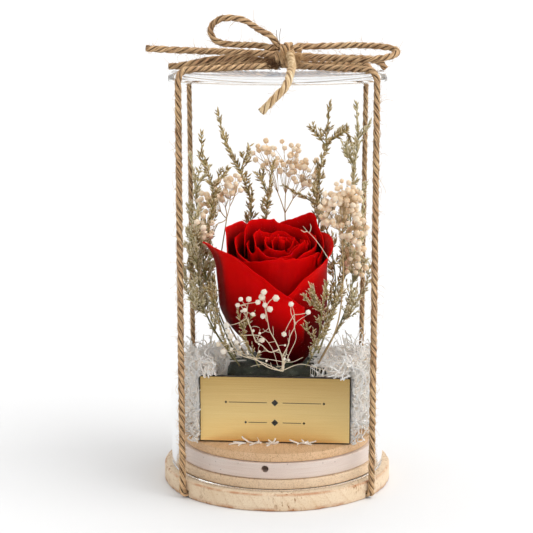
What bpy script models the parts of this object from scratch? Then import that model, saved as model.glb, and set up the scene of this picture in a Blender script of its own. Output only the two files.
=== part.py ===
"""A preserved rose in a closed glass cylinder on a round pine base, tied with jute twine.

Metres, +Z up. The origin is the centre of the base's underside, and the front is -Y.
"""

import math
import random

import bmesh
import bpy
import numpy as np
from mathutils import Matrix, Vector

# Driving dimensions
CLEARANCE = 0.0003
CUTTER_EXTRA = 0.0010
ROUND_STEPS = 36

BASE_RADIUS = 0.0534
BASE_THICKNESS = 0.0081
BASE_EDGE = 0.0010
LOCATING_RADIUS = 0.0463
LOCATING_THICKNESS = 0.0040
DRUM_RADIUS = 0.0450
DRUM_THICKNESS = 0.0072
DRUM_EDGE = 0.0005
DISC_RADIUS = 0.0435
DISC_THICKNESS = 0.0038
DRUM_HOLE_RADIUS = 0.0016
DRUM_HOLE_DEPTH = 0.0090
DRUM_HOLE_ANGLE = math.radians(-6.9)
DRUM_HOLE_DROP = 0.0026

GLASS_RADIUS = 0.0500
GLASS_WALL = 0.0028
GLASS_TOP = 0.1922
GLASS_SHOULDER = 0.0030

FOAM_SIZE = (0.0460, 0.0340, 0.0325)
FOAM_CENTRE = (0.0000, 0.0000)
FOAM_EDGE = 0.0040
NEST_RADIUS = 0.0462
NEST_INNER_RADIUS = 0.0180
NEST_HEIGHT_INSIDE = 0.0300
NEST_HEIGHT_AT_GLASS = 0.0430
NEST_CREST = 0.0030
NEST_CREST_SLOPE = 0.0060
NEST_UNEVENNESS = 0.0030
NEST_STEPS = 26
NEST_GAP = 0.0005

PLATE_SIZE = (0.0685, 0.0016, 0.0310)
PLATE_CENTRE = (-0.0010, -0.0262)
PLATE_TURN = math.radians(-4.2)
PLATE_BEVEL = 0.0005

TWINE_RADIUS = 0.0015
TWINE_POINT_SPACING = 0.0065
GROOVE_DEPTH = 0.0037
GROOVE_WIDTH = 0.0040
GROOVE_ANGLE = math.radians(51.2)
PRESSED_REACH = 0.0080
PRESSED_FULLY = 0.0045
PRESSED_SHARE = 0.46
PRESSED_LIFT = 0.0017
STRAND_TOP_ANGLE = math.radians(57.5)
KNOT_CENTRE = (0.0034, -0.0015, 0.1988)
KNOT_RADII = (0.0060, 0.0052, 0.0060)

ROSE_FOOT_HEIGHT = 0.0555
ROSE_BELLY_HEIGHT = 0.0860
ROSE_RADIUS = 0.0252
ROSE_FOOT_RADIUS = 0.0084
LAYER_STEP = 0.00140
FOOT_LAYER_STEP = 0.00036
FOOT_RISE_PER_LAYER = 0.0010
PETAL_THICKNESS = 0.00042
ROW_CROWDING = 1.5
ROSE_FOOT_AXIS = (0.0040, -0.0020)
ROSE_HEAD_AXIS = (-0.0012, -0.0020)
HEART_DRIFT = 0.00022
CORE_GAP = 0.0007
STEM_RADIUS = 0.0022
STEM_DEPTH = 0.0180
HIP_RADIUS = 0.0056
HIP_HEIGHT = 0.0028
STEM_NECK = 0.0045
SEAT_ROOM = 0.0004
HEART_TOP = 0.1150
HEART_RADIUS = 0.0021

DISC_TOP = (
    BASE_THICKNESS + LOCATING_THICKNESS + DRUM_THICKNESS + DISC_THICKNESS + 3 * CLEARANCE
)
FOAM_TOP = DISC_TOP + CLEARANCE + FOAM_SIZE[2]
STEM_HOLE_DEPTH = 0.0070
STEM_HOLE_ROOM = 0.0004
HAIR_STEM = 0.00050
# Radius at the tip and along the flowering stretch.
CASPIA_SIZES = (0.0008, 0.0016)
SPRAY_SIZES = (0.0018, 0.0012)


# One petal: azimuth from the front (degrees, + is right), half width (degrees), height of the
# apex, drop of the side margins, power of that drop, outward roll of the lip, flare of the whole
# upper half, and mesh columns and rows.
PETALS = [
    (-74, 104, 0.1135, 0.0330, 1.35, 0.0045, 0.0046, 9, 6),
    (80, 98, 0.1140, 0.0290, 1.35, 0.0010, -0.0004, 9, 5),
    (-146, 68, 0.1190, 0.0130, 1.80, 0.0014, 0.0000, 7, 5),
    (132, 68, 0.1242, 0.0120, 1.80, 0.0010, -0.0002, 7, 5),
    (6, 86, 0.1070, 0.0050, 2.00, 0.0010, 0.0000, 8, 5),
    (-96, 80, 0.1150, 0.0080, 1.80, 0.0006, 0.0000, 7, 5),
    (102, 72, 0.1130, 0.0080, 1.80, 0.0006, 0.0000, 7, 5),
    (178, 72, 0.1205, 0.0060, 1.80, 0.0006, 0.0000, 7, 5),
    (-38, 70, 0.1095, 0.0050, 1.80, 0.0004, 0.0000, 6, 4),
    (60, 70, 0.1100, 0.0050, 1.80, 0.0004, 0.0000, 6, 4),
    (-128, 70, 0.1165, 0.0050, 1.80, 0.0004, 0.0000, 6, 4),
    (136, 70, 0.1165, 0.0050, 1.80, 0.0004, 0.0000, 6, 4),
    (12, 80, 0.1115, 0.0040, 1.80, 0.0002, 0.0000, 6, 4),
    (-104, 80, 0.1145, 0.0040, 1.80, 0.0002, 0.0000, 6, 4),
    (110, 80, 0.1145, 0.0040, 1.80, 0.0002, 0.0000, 6, 4),
    (-160, 86, 0.1155, 0.0040, 1.80, 0.0002, 0.0000, 6, 4),
]

# Dried sprigs: the route of the main stem, then side arms as (start point number, route).
CASPIA = [
    (
        [(-0.0130, 0.0130, 0.056), (-0.0190, 0.0240, 0.076), (-0.0175, 0.0270, 0.096),
         (-0.0125, 0.0230, 0.124), (-0.0176, 0.0160, 0.144), (-0.0246, 0.0140, 0.159),
         (-0.0278, 0.0140, 0.1715)],
        [(4, [(-0.0137, 0.0110, 0.1546)])],
    ),
    (
        [(-0.0190, 0.0030, 0.056), (-0.0310, 0.0080, 0.084), (-0.0350, 0.0075, 0.104),
         (-0.0310, 0.0050, 0.124), (-0.0304, 0.0030, 0.139), (-0.0344, 0.0020, 0.151),
         (-0.0352, 0.0020, 0.1634)],
        [(4, [(-0.0250, 0.0000, 0.1440)])],
    ),
    (
        [(-0.0190, 0.0110, 0.056), (-0.0330, 0.0200, 0.088), (-0.0375, 0.0190, 0.113),
         (-0.0390, 0.0160, 0.135), (-0.0412, 0.0130, 0.1518)],
        [(3, [(-0.0330, 0.0210, 0.1450)])],
    ),
    (
        [(-0.0030, 0.0140, 0.056), (-0.0050, 0.0250, 0.074), (-0.0060, 0.0280, 0.095),
         (-0.0054, 0.0240, 0.122), (-0.0045, 0.0220, 0.132), (-0.0021, 0.0200, 0.147)],
        [(4, [(-0.0085, 0.0200, 0.1420)])],
    ),
    (
        [(0.0110, 0.0130, 0.056), (0.0165, 0.0245, 0.080), (0.0195, 0.0240, 0.108),
         (0.0202, 0.0215, 0.142), (0.0229, 0.0200, 0.156), (0.0247, 0.0200, 0.1753)],
        [(4, [(0.0158, 0.0180, 0.1642)]), (4, [(0.0320, 0.0240, 0.1617), (0.0354, 0.0220, 0.1555)])],
    ),
    (
        [(0.0190, 0.0080, 0.056), (0.0310, 0.0150, 0.090), (0.0353, 0.0140, 0.126),
         (0.0365, 0.0140, 0.145), (0.0377, 0.0130, 0.159), (0.0370, 0.0120, 0.1759)],
        [(4, [(0.0425, 0.0090, 0.1664)]), (3, [(0.0330, 0.0180, 0.1560)])],
    ),
    (
        [(0.0160, 0.0030, 0.056), (0.0270, 0.0100, 0.082), (0.0260, 0.0130, 0.106),
         (0.0190, 0.0120, 0.1267), (0.0106, 0.0110, 0.1335), (0.0031, 0.0100, 0.1377)],
        [(3, [(0.0185, 0.0080, 0.1350)])],
    ),
    (
        [(-0.0170, -0.0125, 0.056), (-0.0240, -0.0230, 0.072), (-0.0275, -0.0255, 0.088),
         (-0.0280, -0.0245, 0.1013)],
        [(2, [(-0.0310, -0.0230, 0.0950)])],
    ),
    (
        [(-0.0080, -0.0140, 0.056), (-0.0125, -0.0265, 0.068), (-0.0155, -0.0305, 0.078),
         (-0.0175, -0.0310, 0.087)],
        [(2, [(-0.0115, -0.0320, 0.0840)])],
    ),
    (
        [(0.0130, -0.0135, 0.056), (0.0180, -0.0260, 0.070), (0.0200, -0.0290, 0.0857),
         (0.0220, -0.0280, 0.0991)],
        [(2, [(0.0120, -0.0310, 0.0930)]), (1, [(0.0250, -0.0260, 0.0850)])],
    ),
    (
        [(0.0195, -0.0030, 0.056), (0.0300, -0.0085, 0.078), (0.0350, -0.0060, 0.0952),
         (0.0393, -0.0020, 0.1162), (0.0400, 0.0010, 0.1323)],
        [(2, [(0.0405, -0.0100, 0.1060)]), (3, [(0.0345, -0.0050, 0.1270)])],
    ),
    (
        [(-0.0195, -0.0045, 0.056), (-0.0330, -0.0030, 0.079), (-0.0375, 0.0000, 0.1028),
         (-0.0370, 0.0030, 0.129)],
        [(1, [(-0.0400, -0.0080, 0.0960)]), (2, [(-0.0420, 0.0050, 0.1180)])],
    ),
]
GYPSOPHILA = [
    (
        [(0.0040, 0.0140, 0.056), (0.0055, 0.0270, 0.076), (0.0045, 0.0310, 0.100),
         (0.0037, 0.0300, 0.122), (-0.0020, 0.0285, 0.141), (-0.0073, 0.0270, 0.1535)],
        [(3, [(0.0059, 0.0290, 0.144), (0.0045, 0.0290, 0.154)]),
         (3, [(0.0130, 0.0270, 0.137), (0.0155, 0.0270, 0.1465)])],
    ),
    (
        [(-0.0150, 0.0080, 0.056), (-0.0265, 0.0150, 0.078), (-0.0275, 0.0170, 0.098),
         (-0.0240, 0.0125, 0.122), (-0.0240, 0.0100, 0.132), (-0.0255, 0.0090, 0.1400)],
        [(4, [(-0.0198, 0.0090, 0.1408)]), (3, [(-0.0300, 0.0120, 0.127), (-0.0335, 0.0120, 0.133)])],
    ),
    (
        [(0.0185, -0.0100, 0.056), (0.0270, -0.0180, 0.076), (0.0300, -0.0155, 0.098),
         (0.0295, -0.0110, 0.118), (0.0320, -0.0060, 0.1349)],
        [(3, [(0.0245, -0.0080, 0.1367)]), (2, [(0.0345, -0.0160, 0.1210)])],
    ),
    (
        [(0.0030, -0.0150, 0.056), (0.0020, -0.0280, 0.0665), (-0.0020, -0.0335, 0.080),
         (-0.0069, -0.0340, 0.0940)],
        [(2, [(-0.0145, -0.0345, 0.0910)]), (1, [(0.0062, -0.0330, 0.080), (0.0135, -0.0320, 0.087)]),
         (1, [(-0.0120, -0.0335, 0.067), (-0.0220, -0.0325, 0.077)])],
    ),
]

# Routes of the free twine, from the knot outwards, on the cord's centre line.
LOOP_LEFT = [
    (-0.0010, -0.0012, 0.2052), (-0.0032, -0.0024, 0.2078), (-0.0080, -0.0030, 0.2105),
    (-0.0143, -0.0030, 0.2145), (-0.0190, -0.0024, 0.2157), (-0.0229, -0.0012, 0.2158),
    (-0.0270, 0.0005, 0.2149), (-0.0300, 0.0020, 0.2122), (-0.0305, 0.0030, 0.2090),
    (-0.0286, 0.0034, 0.2058), (-0.0248, 0.0034, 0.2042), (-0.0167, 0.0030, 0.2036),
    (-0.0090, 0.0026, 0.2034), (-0.0045, 0.0022, 0.2026),
]
LOOP_RIGHT = [
    (0.0092, 0.0022, 0.2030), (0.0148, 0.0042, 0.2028), (0.0241, 0.0070, 0.2030),
    (0.0333, 0.0080, 0.2032), (0.0402, 0.0080, 0.2031), (0.0461, 0.0070, 0.2028),
    (0.0514, 0.0044, 0.2022), (0.0540, 0.0004, 0.2012), (0.0538, -0.0034, 0.2000),
    (0.0505, -0.0066, 0.1988), (0.0462, -0.0080, 0.1980), (0.0411, -0.0084, 0.1976),
    (0.0340, -0.0076, 0.1976), (0.0260, -0.0060, 0.1980), (0.0170, -0.0044, 0.1986),
    (0.0104, -0.0032, 0.1990),
]
TAIL_LEFT = [
    (-0.0038, -0.0030, 0.1998), (-0.0120, -0.0040, 0.2003), (-0.0247, -0.0050, 0.2009),
    (-0.0351, -0.0052, 0.2012), (-0.0441, -0.0052, 0.2016), (-0.0513, -0.0050, 0.2019),
    (-0.0595, -0.0050, 0.2024),
]
TAIL_FRONT = [
    (0.0052, -0.0074, 0.1994), (0.0060, -0.0140, 0.1988), (0.0062, -0.0250, 0.1968),
    (0.0062, -0.0360, 0.1956), (0.0058, -0.0460, 0.1950), (0.0050, -0.0535, 0.1926),
    (0.0030, -0.0575, 0.1884), (-0.0018, -0.0588, 0.1835), (-0.0070, -0.0590, 0.1783),
]
TIE_LEFT = [
    (-0.0034, -0.0002, 0.1962), (-0.0120, 0.0002, 0.1972), (-0.0217, 0.0002, 0.1976),
    (-0.0290, 0.0000, 0.1972), (-0.0353, 0.0000, 0.1962), (-0.0410, 0.0000, 0.1948),
    (-0.0450, 0.0000, 0.1942), (-0.0497, 0.0000, 0.1940),
]
TIE_RIGHT = [
    (0.0098, 0.0020, 0.1977), (0.0190, 0.0048, 0.1976), (0.0289, 0.0090, 0.1974),
    (0.0383, 0.0130, 0.1970), (0.0440, 0.0155, 0.1963), (0.0480, 0.0172, 0.1948),
    (0.0503, 0.0182, 0.1920),
]


def clear_scene():
    for obj in list(bpy.data.objects):
        bpy.data.objects.remove(obj)


def new_collection(name):
    collection = bpy.data.collections.new(name)
    bpy.context.scene.collection.children.link(collection)
    return collection


def finish(name, color, roughness, metallic=0.0, transmission=0.0):
    """A Principled material with the colour that the real part shows."""
    material = bpy.data.materials.new(name)
    material.use_nodes = True
    shader = material.node_tree.nodes["Principled BSDF"]
    shader.inputs["Base Color"].default_value = (*color, 1.0)
    shader.inputs["Roughness"].default_value = roughness
    shader.inputs["Metallic"].default_value = metallic
    shader.inputs["Transmission Weight"].default_value = transmission
    return material


def add_object(name, data, collection, material=None):
    obj = bpy.data.objects.new(name, data)
    collection.objects.link(obj)
    if material:
        data.materials.append(material)
    return obj


def mesh_from_bmesh(name, bm):
    mesh = bpy.data.meshes.new(name)
    bm.to_mesh(mesh)
    bm.free()
    return mesh


def shade_round(mesh, sharp_angle=math.radians(40)):
    mesh.shade_smooth()
    mesh.set_sharp_from_angle(angle=sharp_angle)


def turned_mesh(name, profile, steps=ROUND_STEPS):
    """A solid of revolution: the profile runs down the outer side, from the axis to the axis."""
    bm = bmesh.new()
    points = [bm.verts.new((radius, 0.0, height)) for radius, height in profile]
    edges = [bm.edges.new(pair) for pair in zip(points, points[1:])]
    bmesh.ops.spin(
        bm,
        geom=points + edges,
        cent=(0, 0, 0),
        axis=(0, 0, 1),
        angle=2 * math.pi,
        steps=steps,
        use_merge=True,
    )
    bmesh.ops.remove_doubles(bm, verts=bm.verts, dist=1e-6)
    bmesh.ops.recalc_face_normals(bm, faces=bm.faces)
    return mesh_from_bmesh(name, bm)


def disc_profile(radius, low, high, edge=0.0):
    """Half section of a disc, with sharp edges or with broken ones."""
    if not edge:
        return [(0.0, high), (radius, high), (radius, low), (0.0, low)]
    return [
        (0.0, high),
        (radius - edge, high),
        (radius, high - edge),
        (radius, low + edge),
        (radius - edge, low),
        (0.0, low),
    ]


def subtract(obj, cutter):
    """Cut a helper solid out of a part with an exact Boolean."""
    cutter.hide_render = True
    cutter.display_type = "WIRE"
    modifier = obj.modifiers.new("cut_" + cutter.name, "BOOLEAN")
    modifier.operation = "DIFFERENCE"
    modifier.solver = "EXACT"
    modifier.object = cutter


def box_mesh(name, size, centre=(0, 0, 0), turn=0.0):
    bm = bmesh.new()
    bmesh.ops.create_cube(bm, size=1.0)
    bmesh.ops.scale(bm, vec=size, verts=bm.verts)
    bmesh.ops.rotate(bm, cent=(0, 0, 0), matrix=Matrix.Rotation(turn, 3, "Z"), verts=bm.verts)
    bmesh.ops.translate(bm, vec=centre, verts=bm.verts)
    return mesh_from_bmesh(name, bm)


def rod_mesh(name, start, end, radius, sides):
    """A straight round rod between two points."""
    start, end = Vector(start), Vector(end)
    along = end - start
    turn = Vector((0, 0, 1)).rotation_difference(along.normalized()).to_matrix()
    bm = bmesh.new()
    bmesh.ops.create_cone(
        bm, cap_ends=True, segments=sides, radius1=radius, radius2=radius, depth=along.length
    )
    bmesh.ops.rotate(bm, cent=(0, 0, 0), matrix=turn, verts=bm.verts)
    bmesh.ops.translate(bm, vec=(start + end) / 2, verts=bm.verts)
    return mesh_from_bmesh(name, bm)


def smooth_route(points, spacing):
    """Points at an even spacing on a smooth curve through the given ones."""
    pts = [Vector(p) for p in points]
    padded = [2 * pts[0] - pts[1], *pts, 2 * pts[-1] - pts[-2]]
    dense = []
    for p0, p1, p2, p3 in zip(padded, padded[1:], padded[2:], padded[3:]):
        for k in range(12):
            t = k / 12
            dense.append(
                0.5
                * (
                    2 * p1
                    + (p2 - p0) * t
                    + (2 * p0 - 5 * p1 + 4 * p2 - p3) * t**2
                    + (3 * p1 - p0 - 3 * p2 + p3) * t**3
                )
            )
    dense.append(pts[-1])
    lengths = np.cumsum([0.0] + [(b - a).length for a, b in zip(dense, dense[1:])])
    count = max(2, round(lengths[-1] / spacing) + 1)
    places = np.linspace(0.0, lengths[-1], count)
    table = np.array([tuple(p) for p in dense])
    return [tuple(np.interp(place, lengths, table[:, axis]) for axis in range(3)) for place in places]


def cord_curve(name, route, radius=TWINE_RADIUS):
    """A round cord as a bevelled poly curve with filled caps."""
    curve = bpy.data.curves.new(name, "CURVE")
    curve.dimensions = "3D"
    curve.bevel_depth = radius
    curve.bevel_resolution = 2
    curve.use_fill_caps = True
    spline = curve.splines.new("POLY")
    spline.points.add(len(route) - 1)
    for point, place in zip(spline.points, route):
        point.co = (*place, 1.0)
    return curve


# The wooden stack under the glass


def build_base(parts, cutters, wood):
    profile = disc_profile(BASE_RADIUS, 0.0, BASE_THICKNESS, BASE_EDGE)
    base = add_object("base_plate", turned_mesh("base_plate", profile), parts, wood)
    shade_round(base.data)
    for side in (-1, 1):
        # The two grooves let the twine pass under the base while the base stands flat.
        size = (GROOVE_WIDTH, 2.4 * BASE_RADIUS, 2 * GROOVE_DEPTH)
        mesh = box_mesh(f"groove_{side}", size, turn=side * GROOVE_ANGLE)
        subtract(base, add_object(mesh.name, mesh, cutters))
    return base


def build_stack(parts, cutters, dark_wood, paint, light_wood):
    low = BASE_THICKNESS + CLEARANCE
    high = low + LOCATING_THICKNESS
    locating = turned_mesh("locating_disc", disc_profile(LOCATING_RADIUS, low, high))
    add_object("locating_disc", locating, parts, dark_wood)

    low = high + CLEARANCE
    high = low + DRUM_THICKNESS
    drum = turned_mesh("painted_drum", disc_profile(DRUM_RADIUS, low, high, DRUM_EDGE))
    drum = add_object("painted_drum", drum, parts, paint)
    outward = Vector((math.sin(DRUM_HOLE_ANGLE), -math.cos(DRUM_HOLE_ANGLE), 0.0))
    mouth = outward * (DRUM_RADIUS + CUTTER_EXTRA) + Vector((0, 0, high - DRUM_HOLE_DROP))
    end = mouth - outward * (DRUM_HOLE_DEPTH + CUTTER_EXTRA)
    hole = rod_mesh("drum_hole", mouth, end, DRUM_HOLE_RADIUS, 12)
    subtract(drum, add_object("drum_hole", hole, cutters))

    low = high + CLEARANCE
    high = low + DISC_THICKNESS
    disc = turned_mesh("display_disc", disc_profile(DISC_RADIUS, low, high))
    disc = add_object("display_disc", disc, parts, light_wood)
    for name in ("locating_disc", "painted_drum", "display_disc"):
        shade_round(bpy.data.objects[name].data)


def shoulder(radius, height, fillet, steps):
    """The quarter round from the flat top down to the wall."""
    centre = (radius - fillet, height - fillet)
    angles = [math.pi / 2 * k / steps for k in range(steps + 1)]
    return [
        (centre[0] + fillet * math.sin(angle), centre[1] + fillet * math.cos(angle))
        for angle in angles
    ]


def build_glass(parts, glass):
    bottom = BASE_THICKNESS + CLEARANCE
    inner = GLASS_RADIUS - GLASS_WALL
    outside = shoulder(GLASS_RADIUS, GLASS_TOP, GLASS_SHOULDER, 3)
    inside = shoulder(inner, GLASS_TOP - GLASS_WALL, GLASS_SHOULDER, 2)
    profile = [(0.0, GLASS_TOP), *outside, (GLASS_RADIUS, bottom), (inner, bottom)]
    profile += [*reversed(inside), (0.0, GLASS_TOP - GLASS_WALL)]
    dome = add_object("glass_dome", turned_mesh("glass_dome", profile), parts, glass)
    shade_round(dome.data)


# Foam, nest and plate


def build_foam(parts, cutters, foam_finish, holes):
    width, depth, height = FOAM_SIZE
    centre = (*FOAM_CENTRE, DISC_TOP + CLEARANCE + height / 2)
    bm = bmesh.new()
    bmesh.ops.create_cube(bm, size=1.0)
    bmesh.ops.scale(bm, vec=(width, depth, height), verts=bm.verts)
    upright = [e for e in bm.edges if abs(e.verts[0].co.z - e.verts[1].co.z) > height / 2]
    bmesh.ops.bevel(
        bm, geom=upright, offset=FOAM_EDGE, segments=2, profile=0.5, affect="EDGES", material=-1
    )
    bmesh.ops.translate(bm, vec=centre, verts=bm.verts)
    foam = add_object("floral_foam", mesh_from_bmesh("floral_foam", bm), parts, foam_finish)

    cutter = bmesh.new()
    for k, (foot, direction, radius) in enumerate(holes):
        end = foot - direction * STEM_HOLE_DEPTH
        mouth = foot + direction * STEM_HOLE_DEPTH
        rod = rod_mesh(f"hole_{k}", end, mouth, radius, 6)
        cutter.from_mesh(rod)
    subtract(foam, add_object("stem_holes", mesh_from_bmesh("stem_holes", cutter), cutters))
    seat = turned_mesh("rose_seat", rose_seat_profile(), 14)
    seat.transform(Matrix.Translation((*ROSE_FOOT_AXIS, 0.0)))
    subtract(foam, add_object("rose_seat", seat, cutters))


def build_nest(parts, cutters, fibre):
    """The packed ring of wood wool: low beside the foam, high and uneven against the glass."""
    low = DISC_TOP + CLEARANCE
    inside_top = low + NEST_HEIGHT_INSIDE
    outside_top = low + NEST_HEIGHT_AT_GLASS
    middle = (NEST_INNER_RADIUS + NEST_RADIUS) / 2
    profile = [
        (NEST_INNER_RADIUS, inside_top),
        (middle, inside_top + NEST_CREST_SLOPE / 3),
        (NEST_RADIUS - NEST_CREST - 0.0050, outside_top - NEST_CREST_SLOPE),
        (NEST_RADIUS - NEST_CREST, outside_top),
        (NEST_RADIUS, outside_top - NEST_CREST),
        (NEST_RADIUS, low + NEST_HEIGHT_AT_GLASS / 3),
        (DISC_RADIUS - CUTTER_EXTRA, low),
        (NEST_INNER_RADIUS, low),
        (NEST_INNER_RADIUS, inside_top),
    ]
    mesh = turned_mesh("wood_wool_nest", profile, NEST_STEPS)
    rng = random.Random(5)
    wobble = [rng.uniform(-1.0, 1.0) for _ in range(NEST_STEPS)]
    for vertex in mesh.vertices:
        if vertex.co.z > inside_top + NEST_CREST_SLOPE / 6:
            angle = math.atan2(vertex.co.y, vertex.co.x) % (2 * math.pi)
            step = round(angle / (2 * math.pi) * NEST_STEPS) % NEST_STEPS
            vertex.co.z += NEST_UNEVENNESS * wobble[step]
    nest = add_object("wood_wool_nest", mesh, parts, fibre)
    shade_round(nest.data, math.radians(60))

    width, depth, _ = FOAM_SIZE
    middle_height = GLASS_TOP / 2
    room = (width + 2 * NEST_GAP, depth + 2 * NEST_GAP, GLASS_TOP)
    around_foam = box_mesh("around_foam", room, (*FOAM_CENTRE, middle_height))
    subtract(nest, add_object("around_foam", around_foam, cutters))
    front_depth = 2 * (GLASS_RADIUS + PLATE_CENTRE[1])
    front = (PLATE_SIZE[0] + 2 * NEST_GAP, front_depth, GLASS_TOP)
    behind_plate = PLATE_SIZE[1] / 2 + NEST_GAP
    forward = Matrix.Rotation(PLATE_TURN, 3, "Z") @ Vector((0, behind_plate - front_depth / 2, 0))
    place = (PLATE_CENTRE[0] + forward.x, PLATE_CENTRE[1] + forward.y, middle_height)
    before_plate = box_mesh("before_plate", front, place, PLATE_TURN)
    subtract(nest, add_object("before_plate", before_plate, cutters))


def build_plate(parts, gold):
    """A laminate plate with bevelled edges, standing on the display disc."""
    bm = bmesh.new()
    bmesh.ops.create_cube(bm, size=1.0)
    bmesh.ops.scale(bm, vec=PLATE_SIZE, verts=bm.verts)
    bmesh.ops.bevel(
        bm,
        geom=[e for e in bm.edges if all(v.co.y < 0 for v in e.verts)],
        offset=PLATE_BEVEL,
        segments=1,
        profile=0.5,
        affect="EDGES",
        material=-1,
    )
    turn = Matrix.Rotation(PLATE_TURN, 3, "Z")
    bmesh.ops.rotate(bm, cent=(0, 0, 0), matrix=turn, verts=bm.verts)
    height = DISC_TOP + CLEARANCE + PLATE_SIZE[2] / 2
    bmesh.ops.translate(bm, vec=(*PLATE_CENTRE, height), verts=bm.verts)
    add_object("face_plate", mesh_from_bmesh("face_plate", bm), parts, gold)


# The rose


def rose_axis(height, layer):
    """Centre of a layer of petals: the head leans to the left of its foot."""
    rise = min(1.0, max(0.0, (height - ROSE_FOOT_HEIGHT) / (ROSE_BELLY_HEIGHT - ROSE_FOOT_HEIGHT)))
    ease = rise * rise * (3 - 2 * rise)
    x = ROSE_FOOT_AXIS[0] + (ROSE_HEAD_AXIS[0] - ROSE_FOOT_AXIS[0]) * ease
    y = ROSE_FOOT_AXIS[1] + (ROSE_HEAD_AXIS[1] - ROSE_FOOT_AXIS[1]) * ease
    return x + HEART_DRIFT * layer * ease, y


def layer_radius(height, layer):
    """Cup profile of a layer: a quarter round from the foot out to the belly, then upright."""
    foot = ROSE_FOOT_HEIGHT + FOOT_RISE_PER_LAYER * layer
    rise = min(1.0, max(0.0, (height - foot) / (ROSE_BELLY_HEIGHT - foot)))
    foot_radius = ROSE_FOOT_RADIUS - FOOT_LAYER_STEP * layer
    full_radius = ROSE_RADIUS - LAYER_STEP * layer
    return foot_radius + (full_radius - foot_radius) * math.sin(math.pi / 2 * rise)


def petal_point(layer, shape, across, up):
    """A point on a petal: across runs from -1 to 1 and up from 0 at the foot to 1 at the lip."""
    azimuth, half_width, apex, drop, power, roll, flare = shape[:7]
    foot = ROSE_FOOT_HEIGHT + FOOT_RISE_PER_LAYER * layer
    top = apex - drop * abs(across) ** power
    height = foot + (top - foot) * up
    widening = 0.55 + 0.45 * min(1.0, up * 2.2)
    angle = math.radians(azimuth + half_width * widening * across)
    lip = max(0.0, (up - 0.72) / 0.28)
    middle = (1.0 - abs(across)) ** 1.5
    radius = layer_radius(height, layer)
    radius += roll * lip**2 * middle + flare * middle * up**2
    x, y = rose_axis(height, layer)
    return Vector((x + radius * math.sin(angle), y - radius * math.cos(angle), height))


def build_petals(parts, petal_finish):
    for layer, shape in enumerate(PETALS):
        columns, rows = shape[7:]
        bm = bmesh.new()
        bmesh.ops.create_grid(bm, x_segments=columns, y_segments=rows, size=1.0)
        for vertex in bm.verts:
            vertex.co = petal_point(layer, shape, vertex.co.x, ((vertex.co.y + 1) / 2) ** ROW_CROWDING)
        name = f"rose_petal_{layer + 1:02d}"
        petal = add_object(name, mesh_from_bmesh(name, bm), parts, petal_finish)
        petal.data.shade_smooth()
        shell = petal.modifiers.new("thickness", "SOLIDIFY")
        shell.thickness = PETAL_THICKNESS
        shell.offset = 0.0


def rose_core_radius(height):
    """Radius of the receptacle, just inside the petals that start at this height."""
    layer = (height - ROSE_FOOT_HEIGHT) / FOOT_RISE_PER_LAYER
    return ROSE_FOOT_RADIUS - FOOT_LAYER_STEP * layer - PETAL_THICKNESS / 2 - CORE_GAP


def rose_seat_profile():
    """The hollow that the hip and the stem are pressed into, a little larger than they are."""
    mouth_radius = ROSE_FOOT_RADIUS + 0.0046
    top = FOAM_TOP + 0.0100
    neck = ROSE_FOOT_HEIGHT - STEM_NECK - SEAT_ROOM
    bottom = ROSE_FOOT_HEIGHT - STEM_DEPTH - CUTTER_EXTRA
    return [
        (0.0, top),
        (mouth_radius, top),
        (mouth_radius, FOAM_TOP - SEAT_ROOM / 2),
        (ROSE_FOOT_RADIUS + 4 * SEAT_ROOM, ROSE_FOOT_HEIGHT - 2.5 * SEAT_ROOM),
        (HIP_RADIUS + 2 * SEAT_ROOM, ROSE_FOOT_HEIGHT - HIP_HEIGHT - 1.5 * SEAT_ROOM),
        (STEM_RADIUS + SEAT_ROOM, neck),
        (STEM_RADIUS + SEAT_ROOM, bottom),
        (0.0, bottom),
    ]


def build_rose_core(parts, stem_finish, petal_finish):
    last = len(PETALS)
    tip = ROSE_FOOT_HEIGHT + FOOT_RISE_PER_LAYER * last
    profile = [
        (0.0, tip),
        (rose_core_radius(tip), tip),
        (rose_core_radius(ROSE_FOOT_HEIGHT), ROSE_FOOT_HEIGHT),
        (HIP_RADIUS, ROSE_FOOT_HEIGHT - HIP_HEIGHT),
        (STEM_RADIUS, ROSE_FOOT_HEIGHT - STEM_NECK),
        (STEM_RADIUS, ROSE_FOOT_HEIGHT - STEM_DEPTH),
        (0.0, ROSE_FOOT_HEIGHT - STEM_DEPTH),
    ]
    mesh = turned_mesh("rose_stem", profile, 10)
    for vertex in mesh.vertices:
        x, y = rose_axis(vertex.co.z, max(0.0, (vertex.co.z - ROSE_FOOT_HEIGHT) / FOOT_RISE_PER_LAYER))
        vertex.co.x += x
        vertex.co.y += y
    stem = add_object("rose_stem", mesh, parts, stem_finish)
    shade_round(stem.data)

    bottom = tip + CLEARANCE
    profile = [
        (0.0, HEART_TOP),
        (0.6 * HEART_RADIUS, HEART_TOP - 0.0004),
        (0.9 * HEART_RADIUS, HEART_TOP - 0.0050),
        (HEART_RADIUS, HEART_TOP - 0.0200),
        (0.75 * HEART_RADIUS, bottom + 0.0030),
        (0.4 * HEART_RADIUS, bottom),
        (0.0, bottom),
    ]
    mesh = turned_mesh("rose_heart", profile, 8)
    for vertex in mesh.vertices:
        x, y = rose_axis(vertex.co.z, last)
        vertex.co.x += x
        vertex.co.y += y
    heart = add_object("rose_heart", mesh, parts, petal_finish)
    shade_round(heart.data)


# Dried sprigs and sprays


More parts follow.
